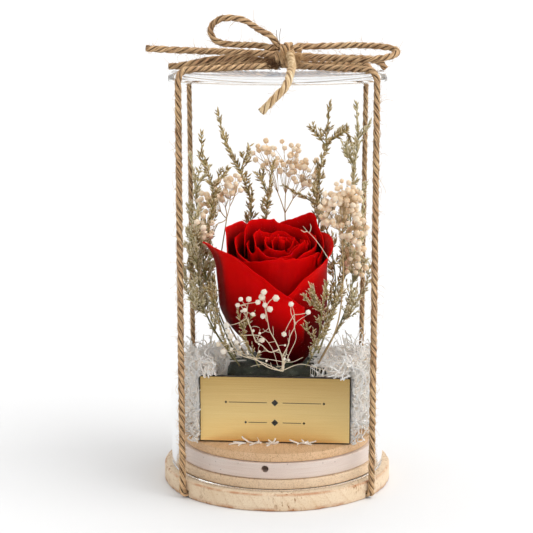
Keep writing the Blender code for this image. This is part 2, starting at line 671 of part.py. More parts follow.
def mesh_of_curve(name, curve, collection):
    """The closed mesh of a bevelled curve, with its caps welded on."""
    guide = add_object(name + "_guide", curve, collection)
    bpy.context.view_layer.update()
    graph = bpy.context.evaluated_depsgraph_get()
    mesh = bpy.data.meshes.new_from_object(guide.evaluated_get(graph))
    bpy.data.objects.remove(guide)
    bm = bmesh.new()
    bm.from_mesh(mesh)
    bmesh.ops.remove_doubles(bm, verts=bm.verts, dist=1e-6)
    bm.to_mesh(mesh)
    bm.free()
    mesh.name = name
    return mesh


def twig_mesh(name, route, sizes, collection):
    """A six-sided twig whose thickness changes from point to point."""
    curve = cord_curve(name, route, 0.001)
    curve.bevel_resolution = 1
    for point, size in zip(curve.splines[0].points, sizes):
        point.radius = size / 0.001
    return mesh_of_curve(name, curve, collection)


def build_sprig(name, stem, arms, sizes, parts, cutters, material):
    """A dried stem pushed into the foam, with its side arms grown on to it."""
    tip_size, arm_size = sizes
    first, second = Vector(stem[0]), Vector(stem[1])
    direction = (second - first).normalized()
    foot = first - direction * (STEM_HOLE_DEPTH - CUTTER_EXTRA)
    thickness = [HAIR_STEM] * (len(stem) - 1) + [arm_size, tip_size]
    mesh = twig_mesh(name, [foot, *stem], thickness, parts)
    sprig = add_object(name, mesh, parts, material)
    shade_round(sprig.data, math.radians(70))
    for k, (start, route) in enumerate(arms):
        thickness = [0.6 * HAIR_STEM] + [arm_size] * (len(route) - 1) + [tip_size]
        arm = twig_mesh(f"{name}_arm_{k + 1}", [stem[start], *route], thickness, cutters)
        helper = add_object(arm.name, arm, cutters)
        helper.hide_render = True
        helper.display_type = "WIRE"
        join = sprig.modifiers.new("join_" + arm.name, "BOOLEAN")
        join.operation = "UNION"
        join.solver = "EXACT"
        join.object = helper
    return first, direction, HAIR_STEM + STEM_HOLE_ROOM


def build_greenery(parts, cutters, caspia_finish, ball_finish):
    holes = []
    for k, (stem, arms) in enumerate(CASPIA):
        name = f"caspia_sprig_{k + 1:02d}"
        holes.append(build_sprig(name, stem, arms, CASPIA_SIZES, parts, cutters, caspia_finish))
    for k, (stem, arms) in enumerate(GYPSOPHILA):
        name = f"gypsophila_spray_{k + 1:02d}"
        holes.append(build_sprig(name, stem, arms, SPRAY_SIZES, parts, cutters, ball_finish))
    return holes


# The twine


def half_band(side, front):
    """Route of one strand from under the base's centre out to its rim, up and back to the knot."""
    corner = (BASE_RADIUS, GROOVE_DEPTH)
    reach = TWINE_RADIUS + CLEARANCE
    low = corner[1] - reach
    stations = [(share * PRESSED_REACH, low) for share in (0.35, 0.62, 1.0, 2.0)]
    for degrees in (-90, -45, 0):
        angle = math.radians(degrees)
        stations.append((corner[0] + reach * math.cos(angle), corner[1] + reach * math.sin(angle)))
    stations.append((BASE_RADIUS + reach, BASE_THICKNESS - BASE_EDGE / 2))
    shoulder_reach = GLASS_SHOULDER + TWINE_RADIUS + CLEARANCE
    middle = (GLASS_RADIUS - GLASS_SHOULDER, GLASS_TOP - GLASS_SHOULDER)
    for degrees in (0, 45, 90):
        angle = math.radians(degrees)
        stations.append(
            (middle[0] + shoulder_reach * math.cos(angle), middle[1] + shoulder_reach * math.sin(angle))
        )
    route = []
    for radius, height in stations:
        share = min(1.0, max(0.0, (height - BASE_THICKNESS) / (GLASS_TOP - BASE_THICKNESS)))
        tilt = GROOVE_ANGLE + (STRAND_TOP_ANGLE - GROOVE_ANGLE) * share
        x = side * radius * math.sin(tilt)
        y = -front * radius * math.cos(tilt)
        route.append((x, y, height))
    edge = Vector(route[-1])
    knot = Vector((KNOT_CENTRE[0], KNOT_CENTRE[1], edge.z + 2 * CLEARANCE))
    inward = (knot - edge).normalized()
    end = knot - inward * (KNOT_RADII[0] + 4 * CLEARANCE)
    route.append(tuple(edge.lerp(end, 0.5)))
    route.append(tuple(end))
    return route


def press_flat(mesh, upper):
    """Where the two bands cross under the base, each is pressed to half its thickness."""
    reach = TWINE_RADIUS + CLEARANCE
    bottom = GROOVE_DEPTH - reach - TWINE_RADIUS
    for vertex in mesh.vertices:
        distance = math.hypot(vertex.co.x, vertex.co.y)
        if vertex.co.z > GROOVE_DEPTH or distance > PRESSED_REACH:
            continue
        share = min(1.0, (PRESSED_REACH - distance) / (PRESSED_REACH - PRESSED_FULLY))
        pressed = CLEARANCE + PRESSED_LIFT * upper + (vertex.co.z - bottom) * PRESSED_SHARE
        vertex.co.z += (pressed - vertex.co.z) * share


def build_bands(parts, jute):
    for name, side, upper in (("twine_band_a", -1, 0), ("twine_band_b", 1, 1)):
        crossing = (0.0, 0.0, GROOVE_DEPTH - TWINE_RADIUS - CLEARANCE)
        route = [*reversed(half_band(side, 1)), crossing, *half_band(-side, -1)]
        mesh = mesh_of_curve(name, cord_curve(name, route), parts)
        press_flat(mesh, upper)
        band = add_object(name, mesh, parts, jute)
        shade_round(band.data, math.radians(60))


def build_bow(parts, jute):
    bm = bmesh.new()
    bmesh.ops.create_uvsphere(bm, u_segments=12, v_segments=8, radius=1.0)
    bmesh.ops.scale(bm, vec=KNOT_RADII, verts=bm.verts)
    bmesh.ops.translate(bm, vec=KNOT_CENTRE, verts=bm.verts)
    knot = add_object("bow_knot", mesh_from_bmesh("bow_knot", bm), parts, jute)
    knot.data.shade_smooth()
    routes = {
        "bow_loop_left": LOOP_LEFT,
        "bow_loop_right": LOOP_RIGHT,
        "bow_tail_left": TAIL_LEFT,
        "bow_tail_front": TAIL_FRONT,
        "tie_end_left": TIE_LEFT,
        "tie_end_right": TIE_RIGHT,
    }
    for name, points in routes.items():
        add_object(name, cord_curve(name, smooth_route(points, TWINE_POINT_SPACING)), parts, jute)


def main():
    clear_scene()
    parts = new_collection("preserved_rose_in_glass_dome")
    cutters = new_collection("cutters")
    cutters.hide_render = True

    pine = finish("pine", (0.72, 0.52, 0.32), 0.65)
    brown_wood = finish("brown_wood", (0.42, 0.27, 0.15), 0.65)
    white_paint = finish("white_paint", (0.78, 0.70, 0.66), 0.45)
    light_wood = finish("light_wood", (0.74, 0.52, 0.34), 0.65)
    glass = finish("clear_glass", (0.97, 0.98, 0.98), 0.02, transmission=1.0)
    foam_finish = finish("floral_foam", (0.05, 0.06, 0.05), 0.95)
    fibre = finish("white_wood_wool", (0.80, 0.76, 0.71), 0.85)
    gold = finish("brushed_gold_laminate", (0.72, 0.51, 0.20), 0.35, metallic=0.9)
    petal_finish = finish("red_petal", (0.50, 0.003, 0.006), 0.70)
    stem_finish = finish("green_stem", (0.10, 0.14, 0.05), 0.70)
    caspia_finish = finish("dried_caspia", (0.38, 0.32, 0.18), 0.85)
    ball_finish = finish("dried_gypsophila", (0.78, 0.60, 0.42), 0.80)
    jute = finish("jute_twine", (0.42, 0.26, 0.12), 0.90)

    build_base(parts, cutters, pine)
    build_stack(parts, cutters, brown_wood, white_paint, light_wood)
    build_glass(parts, glass)
    build_rose_core(parts, stem_finish, petal_finish)
    build_petals(parts, petal_finish)
    holes = build_greenery(parts, cutters, caspia_finish, ball_finish)
    build_foam(parts, cutters, foam_finish, holes)
    build_nest(parts, cutters, fibre)
    build_plate(parts, gold)
    build_bands(parts, jute)
    build_bow(parts, jute)


main()
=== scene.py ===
# %% [markdown]
# A preserved red rose stands on a block of floral foam among dried sprigs, closed in a glass
# cylinder on a round pine base and tied like a parcel with jute twine. The solids of the object
# come packed as a fixed frame. This script dresses that frame: each cell makes one piece or one
# finish, in metres, with +Z up and the front towards -Y.

# %% Load the frame
import math
import random

import bmesh
import bpy
import numpy as np
from mathutils import Matrix, Vector, noise


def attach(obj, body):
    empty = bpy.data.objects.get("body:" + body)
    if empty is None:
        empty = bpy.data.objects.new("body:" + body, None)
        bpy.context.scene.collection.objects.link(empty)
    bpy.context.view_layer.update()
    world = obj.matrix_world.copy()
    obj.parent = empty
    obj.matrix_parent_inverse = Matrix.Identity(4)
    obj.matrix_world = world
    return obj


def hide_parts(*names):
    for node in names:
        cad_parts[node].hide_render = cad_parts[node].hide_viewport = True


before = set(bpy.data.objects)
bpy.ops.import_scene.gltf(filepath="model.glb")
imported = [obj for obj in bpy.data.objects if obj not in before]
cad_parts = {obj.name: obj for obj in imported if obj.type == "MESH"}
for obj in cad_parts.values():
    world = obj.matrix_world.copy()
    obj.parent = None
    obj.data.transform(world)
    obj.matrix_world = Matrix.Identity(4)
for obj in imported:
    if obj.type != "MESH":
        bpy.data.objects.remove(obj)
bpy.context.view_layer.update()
BODY = "root"
MM = 0.001

# %% [markdown]
# The camera comes first, because everything is judged through it. A small product like this is
# photographed from a little above with a long lens, so that the cylinder's sides stay parallel.
# The focal length is kept in pixels of the picture and turned to millimetres of the sensor.

# %% Camera
FRAME_PX = 533
FOCAL_PX = 1569.66
CAMERA_PLACE = (0.0, -0.72006, 0.23596)
CAMERA_DOWN = 0.185
CAMERA_LEFT = 0.007

lens = bpy.data.cameras.new("product_camera")
lens.sensor_width = 36.0
lens.lens = FOCAL_PX / FRAME_PX * lens.sensor_width
camera = bpy.data.objects.new("product_camera", lens)
camera.location = CAMERA_PLACE
camera.rotation_euler = (math.pi / 2 - CAMERA_DOWN, 0.0, CAMERA_LEFT)
bpy.context.scene.collection.objects.link(camera)
bpy.context.scene.camera = camera
print("lens:", round(lens.lens, 1), "mm")

# %% [markdown]
# Light and materials are small graphs of nodes. A few helpers keep them short: one turns a hex
# colour to the linear values that shaders take, one adds a node with its settings and links, and
# one starts a material. Sizes of patterns are real sizes, so a noise gets one over its size.

# %% Colours and nodes


def srgb(code):
    """A hex colour as the linear RGBA values that shaders take."""
    values = [int(code[k : k + 2], 16) / 255 for k in (1, 3, 5)]
    linear = [v / 12.92 if v <= 0.04045 else ((v + 0.055) / 1.055) ** 2.4 for v in values]
    return (*linear, 1.0)


def wire(tree, node, inputs):
    """Gives a node's inputs their values, or a link where the value is another node's output."""
    for place, value in inputs.items():
        if isinstance(value, bpy.types.NodeSocket):
            tree.links.new(value, node.inputs[place])
        else:
            node.inputs[place].default_value = value


def add(tree, kind, inputs=None, **settings):
    """Adds a node with its settings, and gives its inputs their values or links."""
    made = tree.nodes.new(kind)
    for name, value in settings.items():
        setattr(made, name, value)
    wire(tree, made, inputs or {})
    return made


def new_material(name):
    """A material with its node tree and its Principled shader."""
    material = bpy.data.materials.new(name)
    material.use_nodes = True
    return material, material.node_tree, material.node_tree.nodes["Principled BSDF"]


def set_stops(ramp, *stops):
    """Gives a colour ramp its stops, as (position, hex colour)."""
    elements = ramp.color_ramp.elements
    while len(elements) < len(stops):
        elements.new(1.0)
    for element, (position, code) in zip(elements, stops):
        element.position = position
        element.color = srgb(code)
    return ramp.outputs["Color"]


# %% [markdown]
# The light is a white studio: a room that is brightest behind and to the right, and one wide soft
# source from the same side that leaves a faint shadow on the left. Glass shows what is around it,
# so the room has no edges. A distant light lights the whole floor alike, near and far. Light that
# runs along inside the glass wall is reflected many times before it leaves, so it may bounce often.

# %% Light and floor
ROOM_DARKEST, ROOM_BRIGHTEST = 0.50, 1.40
ROOM_BRIGHT_SIDE = (0.62, 0.30, 0.72)
KEY_STRENGTH = 1.25
KEY_WIDTH = math.radians(50)
KEY_TURN = (math.radians(18), math.radians(42), 0.0)
FLOOR_RADIUS = 40.0
LIGHT_BOUNCES = 128

room = bpy.data.worlds.new("white_room")
room.use_nodes = True
tree = room.node_tree
way = add(tree, "ShaderNodeTexCoord").outputs["Generated"]
towards = add(
    tree, "ShaderNodeVectorMath", {0: way, 1: ROOM_BRIGHT_SIDE}, operation="DOT_PRODUCT"
).outputs[1]
levels = {"From Min": -1.0, "To Min": ROOM_DARKEST, "To Max": ROOM_BRIGHTEST}
glow = add(tree, "ShaderNodeMapRange", {"Value": towards, **levels})
wire(tree, tree.nodes["Background"], {"Color": srgb("#FFFFFF"), "Strength": glow.outputs[0]})
bpy.context.scene.world = room
bpy.context.scene.view_settings.view_transform = "Standard"
bpy.context.scene.cycles.glossy_bounces = LIGHT_BOUNCES
bpy.context.scene.cycles.max_bounces = LIGHT_BOUNCES
bpy.context.scene.cycles.transmission_bounces = LIGHT_BOUNCES

key = bpy.data.lights.new("soft_key", "SUN")
key.energy = KEY_STRENGTH
key.angle = KEY_WIDTH
key_object = bpy.data.objects.new("soft_key", key)
key_object.rotation_euler = KEY_TURN
bpy.context.scene.collection.objects.link(key_object)


def put(name, mesh, *materials):
    """A new object at the origin that holds this mesh and wears these materials."""
    obj = bpy.data.objects.new(name, mesh)
    bpy.context.scene.collection.objects.link(obj)
    for material in materials:
        mesh.materials.append(material)
    return obj


def to_mesh(name, bm):
    """Ends a bmesh as a smooth-shaded mesh with faces that point outwards."""
    bmesh.ops.recalc_face_normals(bm, faces=bm.faces)
    mesh = bpy.data.meshes.new(name)
    bm.to_mesh(mesh)
    bm.free()
    mesh.shade_smooth()
    return mesh


paper, tree, shader = new_material("matt_white_paper")
wire(tree, shader, {"Base Color": srgb("#E0E0E0"), "Roughness": 1.0, "Specular IOR Level": 0.0})
bm = bmesh.new()
bmesh.ops.create_circle(bm, cap_ends=True, segments=64, radius=FLOOR_RADIUS)
floor = put("studio_floor", to_mesh("studio_floor", bm), paper)
print("floor: a disc of", FLOOR_RADIUS, "m radius")

# %% [markdown]
# Every piece is finished in the same way: it rides on the object's one body, and the solids of
# the frame that it stands for are hidden.

# %% Finishing a piece


def settle(obj, finish, *nodes):
    """Ties a piece to the body and hides the solids that it stands for; the finish is not used."""
    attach(obj, BODY)
    if nodes:
        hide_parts(*nodes)
    return obj


def evaluated_mesh(obj):
    """The mesh that an object has once its modifiers or its curve settings have done their work."""
    bpy.context.view_layer.update()
    graph = bpy.context.evaluated_depsgraph_get()
    return bpy.data.meshes.new_from_object(obj.evaluated_get(graph), depsgraph=graph)


def apply_modifiers(obj):
    """Keeps the shape that the modifiers make, and removes them."""
    made = evaluated_mesh(obj)
    obj.modifiers.clear()
    obj.data = made


def carve(obj, cutters):
    """Cuts shapes out of a piece with exact Booleans, and removes the shapes."""
    for cutter in cutters:
        cut = obj.modifiers.new("cut", "BOOLEAN")
        cut.operation = "DIFFERENCE"
        cut.solver = "EXACT"
        cut.object = cutter
    apply_modifiers(obj)
    for cutter in cutters:
        bpy.data.objects.remove(cutter)


def thicken(obj, thickness):
    """Gives a sheet its thickness, half to each side."""
    shell = obj.modifiers.new("thickness", "SOLIDIFY")
    shell.thickness = thickness
    shell.offset = 0.0
    apply_modifiers(obj)


def join(pieces, name):
    """Joins objects into the first one, each face keeping its material."""
    with bpy.context.temp_override(
        active_object=pieces[0], object=pieces[0], selected_editable_objects=pieces, selected_objects=pieces
    ):
        bpy.ops.object.join()
    pieces[0].name = pieces[0].data.name = name
    return pieces[0]


def cylinder_point(radius, degrees_from_front, height):
    """A point by its distance from the axis, its angle from the front (+ is right) and height."""
    angle = math.radians(degrees_from_front)
    return Vector((radius * math.sin(angle), -radius * math.cos(angle), height))


# %% [markdown]
# Jute twine is three plies of dry plant fibre laid round each other. The lay shows as slanting
# ridges about 4 mm apart, with dark grooves between them and loose hairs on the outside. A tube
# with three lobes that turns as it goes gives the ridges, and its UV map is kept in metres along
# the cord and round it, so that the fibres can follow the plies.

# %% Jute finish
PLIES = 3
JUTE_LAY = 12.5 * MM
FIBRE_LENGTH = 5.0 * MM
FIBRES_AROUND = 20.0
STAIN = 7.14 * MM
FLECK = 1.11 * MM


def jute_finish(name, dark, light, groove_painted_shade):
    """Natural jute: dull, dry fibres that scatter light softly, with painted shade in the grooves where they
    meet.
    """
    material, tree, shader = new_material(name)
    uv = add(tree, "ShaderNodeUVMap", uv_map="cord").outputs["UV"]
    place = add(tree, "ShaderNodeTexCoord").outputs["Object"]
    around = add(tree, "ShaderNodeSeparateXYZ", {"Vector": uv}).outputs["X"]
    lobe = add(tree, "ShaderNodeMath", {0: around, 1: PLIES * math.pi}, operation="MULTIPLY")
    wave = add(tree, "ShaderNodeMath", {0: lobe.outputs[0]}, operation="SINE")
    ridge = add(tree, "ShaderNodeMath", {0: wave.outputs[0]}, operation="ABSOLUTE").outputs[0]
    along = add(tree, "ShaderNodeMapping", {"Vector": uv, "Scale": (FIBRES_AROUND, 1 / FIBRE_LENGTH, 1.0)})
    strands = {"Vector": along.outputs[0], "Scale": 1.0, "Detail": 3.0, "Roughness": 0.65}
    fibres = add(tree, "ShaderNodeTexNoise", strands).outputs["Fac"]
    streaks = add(
        tree, "ShaderNodeMapRange", {"Value": fibres, "From Min": 0.36, "From Max": 0.62}
    ).outputs[0]
    finer = (2.6 * FIBRES_AROUND, 3 / FIBRE_LENGTH, 1.0)
    fine = add(tree, "ShaderNodeMapping", {"Vector": uv, "Scale": finer}).outputs[0]
    hairs = add(tree, "ShaderNodeTexNoise", {"Vector": fine, "Scale": 1.0}).outputs["Fac"]
    stains = add(tree, "ShaderNodeTexNoise", {"Vector": place, "Scale": 1 / STAIN}).outputs["Fac"]
    fibre = add(
        tree, "ShaderNodeMix", {0: streaks, 6: srgb(dark), 7: srgb(light)}, data_type="RGBA"
    ).outputs[2]
    stained = add(
        tree, "ShaderNodeMix", {0: 0.45, 6: fibre, 7: stains}, data_type="RGBA", blend_type="OVERLAY"
    ).outputs[2]
    # Painted shade: the colour darkens into the grooves where the plies meet.
    groove = add(
        tree, "ShaderNodeMapRange", {"Value": ridge, "From Max": 0.66, "To Min": 0.05},
        interpolation_type="SMOOTHSTEP",
    ).outputs[0]
    colour = add(tree, "ShaderNodeMix", {0: groove, 6: srgb(groove_painted_shade), 7: stained}, data_type="RGBA")
    height = add(tree, "ShaderNodeMath", {0: hairs, 1: fibres}, operation="ADD").outputs[0]
    bump = add(tree, "ShaderNodeBump", {"Height": height, "Strength": 1.0, "Distance": 0.35 * MM})
    wire(tree, shader, {"Base Color": colour.outputs[2], "Normal": bump.outputs[0], "Roughness": 0.92})
    wire(tree, shader, {"Specular IOR Level": 0.2, "Sheen Weight": 0.15, "Sheen Roughness": 0.6})
    wire(tree, shader, {"Sheen Tint": srgb("#F0DCB8")})
    return material


def plain_finish(name, colour):
    """Loose fibre and cut ends: one dry colour, since a single fibre is too thin to show more."""
    material, tree, shader = new_material(name)
    place = add(tree, "ShaderNodeTexCoord").outputs["Object"]
    fleck = add(
        tree, "ShaderNodeTexNoise", {"Vector": place, "Scale": 1 / FLECK, "Detail": 1.0}
    ).outputs["Fac"]
    flecked = add(
        tree, "ShaderNodeMix", {0: 0.35, 6: srgb(colour), 7: fleck}, data_type="RGBA", blend_type="OVERLAY"
    ).outputs[2]
    wire(tree, shader, {"Base Color": flecked, "Roughness": 0.85})
    return material


# The last colour of each jute is painted shade for its grooves.
jute = jute_finish("natural_jute_twine", "#694224", "#EFC89A", "#2C190A")
pale_jute = jute_finish("frayed_jute_twine", "#AC8450", "#FCE4BC", "#6E4826")
jute_cut = plain_finish("cut_jute_end", "#54301A")
hair_finish = plain_finish("loose_jute_fibre", "#C29C6C")
# Dark fibre, as painted shade in the tuft under the knot and for a few dark stray fibres.
shade_and_dark_hair = plain_finish("dark_jute_fibre", "#5E3D1E")
print("jute: one turn of the lay every", JUTE_LAY / MM, "mm")

# %% [markdown]
# A cord follows its centre line on a smooth curve through a few given points. At each ring the
# section is turned a little further, and the frame that carries it is handed on from ring to ring
# without spinning, so that bends don't add twist. The grid that starts the tube is a plain
# operator's grid, laid round the line and welded along its seam. Real twine is uneven, so its
# thickness swells a little and its lay wanders.

# %% Twine tubes
GROOVE_SHARE = 0.36
SWELL_SHARE = 0.16
WANDER_TURNS = 0.22
WELD = 1e-7


def smooth_route(points, spacing):
    """Points at an even spacing on a smooth curve through the given ones."""
    pts = [Vector(p) for p in points]
    padded = [2 * pts[0] - pts[1], *pts, 2 * pts[-1] - pts[-2]]
    dense = []
    for p0, p1, p2, p3 in zip(padded, padded[1:], padded[2:], padded[3:]):
        for k in range(12):
            t = k / 12
            blend = (p2 - p0) * t + (2 * p0 - 5 * p1 + 4 * p2 - p3) * t**2
            dense.append(p1 + 0.5 * (blend + (3 * p1 - p0 - 3 * p2 + p3) * t**3))
    dense.append(pts[-1])
    lengths = np.cumsum([0.0] + [(b - a).length for a, b in zip(dense, dense[1:])])
    count = max(3, round(lengths[-1] / spacing) + 1)
    table = np.array([tuple(p) for p in dense])
    places = np.linspace(0.0, lengths[-1], count)
    return [Vector([np.interp(place, lengths, table[:, axis]) for axis in range(3)]) for place in places]


def route_length(route):
    """Length along a route in metres."""
    return sum((b - a).length for a, b in zip(route, route[1:]))


def ring_frames(route):
    """(point, side, up) for each point, with the sides carried along without spinning."""
    frames = []
    side = None
    for k, point in enumerate(route):
        ahead, behind = route[min(k + 1, len(route) - 1)], route[max(k - 1, 0)]
        tangent = (ahead - behind).normalized()
        if side is None:
            helper = Vector((0, 0, 1)) if abs(tangent.z) < 0.9 else Vector((1, 0, 0))
            side = helper.cross(tangent).normalized()
        side = (side - tangent * side.dot(tangent)).normalized()
        frames.append((point, side, tangent.cross(side)))
    return frames


def twine_mesh(name, route, radius, sides=24, phase=0.0):
    """A laid cord round a route: lobed sections that turn once for each length of lay."""
    rings = ring_frames(route)
    last = len(rings) - 1
    step = route_length(route) / last
    bm = bmesh.new()
    uv = bm.loops.layers.uv.new("cord")
    bmesh.ops.create_grid(bm, x_segments=sides, y_segments=last, size=1.0, calc_uvs=True)
    for face in bm.faces:
        for loop in face.loops:
            loop[uv].uv.y *= last * step
    for vertex in bm.verts:
        share = (vertex.co.x + 1) / 2
        row = round((vertex.co.y + 1) / 2 * last)
        point, side, up = rings[row]
        distance = row * step
        wander = WANDER_TURNS * noise.noise((0.7 * distance / JUTE_LAY, 5.0, phase))
        turn = 2 * math.pi * (share - distance / JUTE_LAY + wander) + phase
        crest = abs(math.sin(PLIES * math.pi * share))
        seed = (distance / JUTE_LAY, math.cos(2 * math.pi * share) + phase, math.sin(2 * math.pi * share))
        uneven = 1 + SWELL_SHARE * noise.noise(seed)
        reach = radius * uneven * (1 - GROOVE_SHARE * (1 - crest) ** 1.6)
        vertex.co = point + (side * math.cos(turn) + up * math.sin(turn)) * reach
    bmesh.ops.remove_doubles(bm, verts=bm.verts, dist=WELD)
    ends = bmesh.ops.holes_fill(bm, edges=[e for e in bm.edges if e.is_boundary], sides=0)
    for face in bmesh.ops.poke(bm, faces=ends["faces"], offset=0.15 * radius)["faces"]:
        face.material_index = 1
    return to_mesh(name, bm)


# %% [markdown]
# The two ties run from the knot over the glass shoulder, down the wall, round the edge of the base
# and cross underneath in two grooves. Their line is worked out from the same radii as the glass
# and the base: straight where the twine is pulled tight, round where it turns a corner. Where they
# cross, each is pressed to about half its thickness, so the base still stands flat.

# %% The two ties
CLEARANCE = 0.3 * MM
TWINE_RADIUS = 1.5 * MM
TWINE_STEP = 0.75 * MM
GROOVE_DEPTH = 3.7 * MM
GROOVE_ANGLE = 51.2
STRAND_TOP_ANGLE = 57.5
BASE_RADIUS = 53.4 * MM
BASE_THICKNESS = 8.1 * MM
GLASS_RADIUS = 50.0 * MM
GLASS_TOP = 192.2 * MM
GLASS_SHOULDER = 3.0 * MM
KNOT = Vector((0.0034, -0.0015, 0.1988))
UNDERNEATH_MM = (1.0, 2.8, 5, 8, 12, 16, 22, 30, 38, 45, 50)
PRESSED_REACH = 8.0 * MM
PRESSED_FULLY = 4.5 * MM
PRESSED_SHARE = 0.46
PRESSED_LIFT = 1.7 * MM


def half_tie(side, front):
    """One strand's route, from under the base's centre out to its rim, up and back to the knot."""
    reach = TWINE_RADIUS + CLEARANCE
    low = GROOVE_DEPTH - reach
    stations = [(radius * MM, low) for radius in UNDERNEATH_MM]
    for degrees in (-90, -60, -30, 0):
        angle = math.radians(degrees)
        stations.append((BASE_RADIUS + reach * math.cos(angle), GROOVE_DEPTH + reach * math.sin(angle)))
    foot, head = BASE_RADIUS + reach, GLASS_RADIUS + reach
    for height in np.linspace(BASE_THICKNESS, GLASS_TOP - 2 * GLASS_SHOULDER, 24):
        share = (height - BASE_THICKNESS) / (GLASS_TOP - BASE_THICKNESS)
        stations.append((foot + (head - foot) * share, height))
    turn = GLASS_SHOULDER + reach
    for degrees in (0, 30, 60, 90):
        angle = math.radians(degrees)
        across = GLASS_RADIUS - GLASS_SHOULDER + turn * math.cos(angle)
        stations.append((across, GLASS_TOP - GLASS_SHOULDER + turn * math.sin(angle)))
    route = []
    for radius, height in stations:
        share = min(1.0, max(0.0, (height - BASE_THICKNESS) / (GLASS_TOP - BASE_THICKNESS)))
        tilt = GROOVE_ANGLE + (STRAND_TOP_ANGLE - GROOVE_ANGLE) * share
        route.append(cylinder_point(radius, side * tilt, height))
        if front < 0:
            route[-1].y *= -1
    edge = route[-1]
    knot = Vector((KNOT.x, KNOT.y, edge.z + 2 * CLEARANCE))
    route += [edge.lerp(knot, share) for share in (0.3, 0.6, 0.88)]
    return route


def press_flat(mesh, upper):
    """Presses a tie to half its thickness where the other one crosses it under the base."""
    bottom = GROOVE_DEPTH - 2 * TWINE_RADIUS - CLEARANCE
    for vertex in mesh.vertices:
        distance = math.hypot(vertex.co.x, vertex.co.y)
        if vertex.co.z > GROOVE_DEPTH + TWINE_RADIUS or distance > PRESSED_REACH:
            continue
        share = min(1.0, (PRESSED_REACH - distance) / (PRESSED_REACH - PRESSED_FULLY))
        pressed = CLEARANCE + PRESSED_LIFT * upper + (vertex.co.z - bottom) * PRESSED_SHARE
        vertex.co.z += (pressed - vertex.co.z) * share


tie_routes = []
for name, side, upper in (("twine_band_a", -1, 0), ("twine_band_b", 1, 1)):
    corners = [*reversed(half_tie(side, 1)), *half_tie(-side, -1)]
    route = smooth_route(corners, TWINE_STEP)
    tie_routes.append(route)
    mesh = twine_mesh(name, route, TWINE_RADIUS * 1.02, sides=18, phase=2.0 * upper)
    press_flat(mesh, upper)
    settle(put(name + "_jute", mesh, jute, jute_cut), "jute_twine", name)
    print(name, "length", round(route_length(route), 3), "m,", len(mesh.polygons), "faces")

# %% [markdown]
# The bow is free twine: two loops and two tails that come out of the knot, and the two short ends
# left where the ties were trimmed. Each is a cord of its own with a known length, and it keeps
# the route that its solid has in the frame, drawn on a finer curve. Slack twine opens up a little,
# and most of all the tail that hangs in front, which is also paler.

# %% The bow's free cords
INTO_KNOT = 0.45
BOW_ROUTES = {
    "bow_loop_left": [
        (-0.0010, -0.0012, 0.2052), (-0.0032, -0.0024, 0.2078), (-0.0080, -0.0030, 0.2105),
        (-0.0143, -0.0030, 0.2145), (-0.0190, -0.0024, 0.2157), (-0.0229, -0.0012, 0.2158),
        (-0.0270, 0.0005, 0.2149), (-0.0300, 0.0020, 0.2122), (-0.0305, 0.0030, 0.2090),
        (-0.0286, 0.0034, 0.2058), (-0.0248, 0.0034, 0.2042), (-0.0167, 0.0030, 0.2036),
        (-0.0090, 0.0026, 0.2034), (-0.0045, 0.0022, 0.2026),
    ],
    "bow_loop_right": [
        (0.0092, 0.0022, 0.2030), (0.0148, 0.0042, 0.2028), (0.0241, 0.0070, 0.2030),
        (0.0333, 0.0080, 0.2032), (0.0402, 0.0080, 0.2031), (0.0461, 0.0070, 0.2028),
        (0.0514, 0.0044, 0.2022), (0.0540, 0.0004, 0.2012), (0.0538, -0.0034, 0.2000),
        (0.0505, -0.0066, 0.1988), (0.0462, -0.0080, 0.1980), (0.0411, -0.0084, 0.1976),
        (0.0340, -0.0076, 0.1976), (0.0260, -0.0060, 0.1980), (0.0170, -0.0044, 0.1986),
        (0.0104, -0.0032, 0.1990),
    ],
    "bow_tail_left": [
        (-0.0038, -0.0030, 0.1998), (-0.0120, -0.0040, 0.2003), (-0.0247, -0.0050, 0.2009),
        (-0.0351, -0.0052, 0.2012), (-0.0441, -0.0052, 0.2016), (-0.0513, -0.0050, 0.2019),
        (-0.0595, -0.0050, 0.2024),
    ],
    "bow_tail_front": [
        (0.0052, -0.0074, 0.1994), (0.0060, -0.0140, 0.1988), (0.0062, -0.0250, 0.1968),
        (0.0062, -0.0360, 0.1956), (0.0058, -0.0460, 0.1950), (0.0050, -0.0535, 0.1926),
        (0.0030, -0.0575, 0.1884), (-0.0018, -0.0588, 0.1835), (-0.0070, -0.0590, 0.1783),
    ],
    "tie_end_left": [
        (-0.0034, -0.0002, 0.1962), (-0.0120, 0.0002, 0.1972), (-0.0217, 0.0002, 0.1976),
        (-0.0290, 0.0000, 0.1972), (-0.0353, 0.0000, 0.1962), (-0.0410, 0.0000, 0.1948),
        (-0.0450, 0.0000, 0.1942), (-0.0497, 0.0000, 0.1940),
    ],
    "tie_end_right": [
        (0.0098, 0.0020, 0.1977), (0.0190, 0.0048, 0.1976), (0.0289, 0.0090, 0.1974),
        (0.0383, 0.0130, 0.1970), (0.0440, 0.0155, 0.1963), (0.0480, 0.0172, 0.1948),
        (0.0503, 0.0182, 0.1920),
    ],
}
LOOPS = ("bow_loop_left", "bow_loop_right")
OPENED = {"bow_tail_front": 1.18, "bow_loop_left": 1.0, "bow_loop_right": 1.0}

bow_routes = {}
for count, (name, points) in enumerate(BOW_ROUTES.items()):
    into_knot = Vector(points[0]).lerp(KNOT, INTO_KNOT)
    ends = [into_knot, *points]
    if name in LOOPS:
        ends.append(Vector(points[-1]).lerp(KNOT, INTO_KNOT))
    route = smooth_route(ends, TWINE_STEP)
    bow_routes[name] = route
    mesh = twine_mesh(name, route, TWINE_RADIUS * OPENED.get(name, 1.06), phase=1.3 * count)
    finish = pale_jute if name == "bow_tail_front" else jute
    piece = settle(put(name + "_jute", mesh, finish, jute_cut), "jute_twine", name)
    print(name, "length", round(route_length(route), 4), "m")

# %% [markdown]
# The knot itself is a short piece of the same twine wound twice round the others. A helix with
# a flattened oval path gives the wraps, and a few more short lengths cross inside it, so that no
# gap looks through the knot.

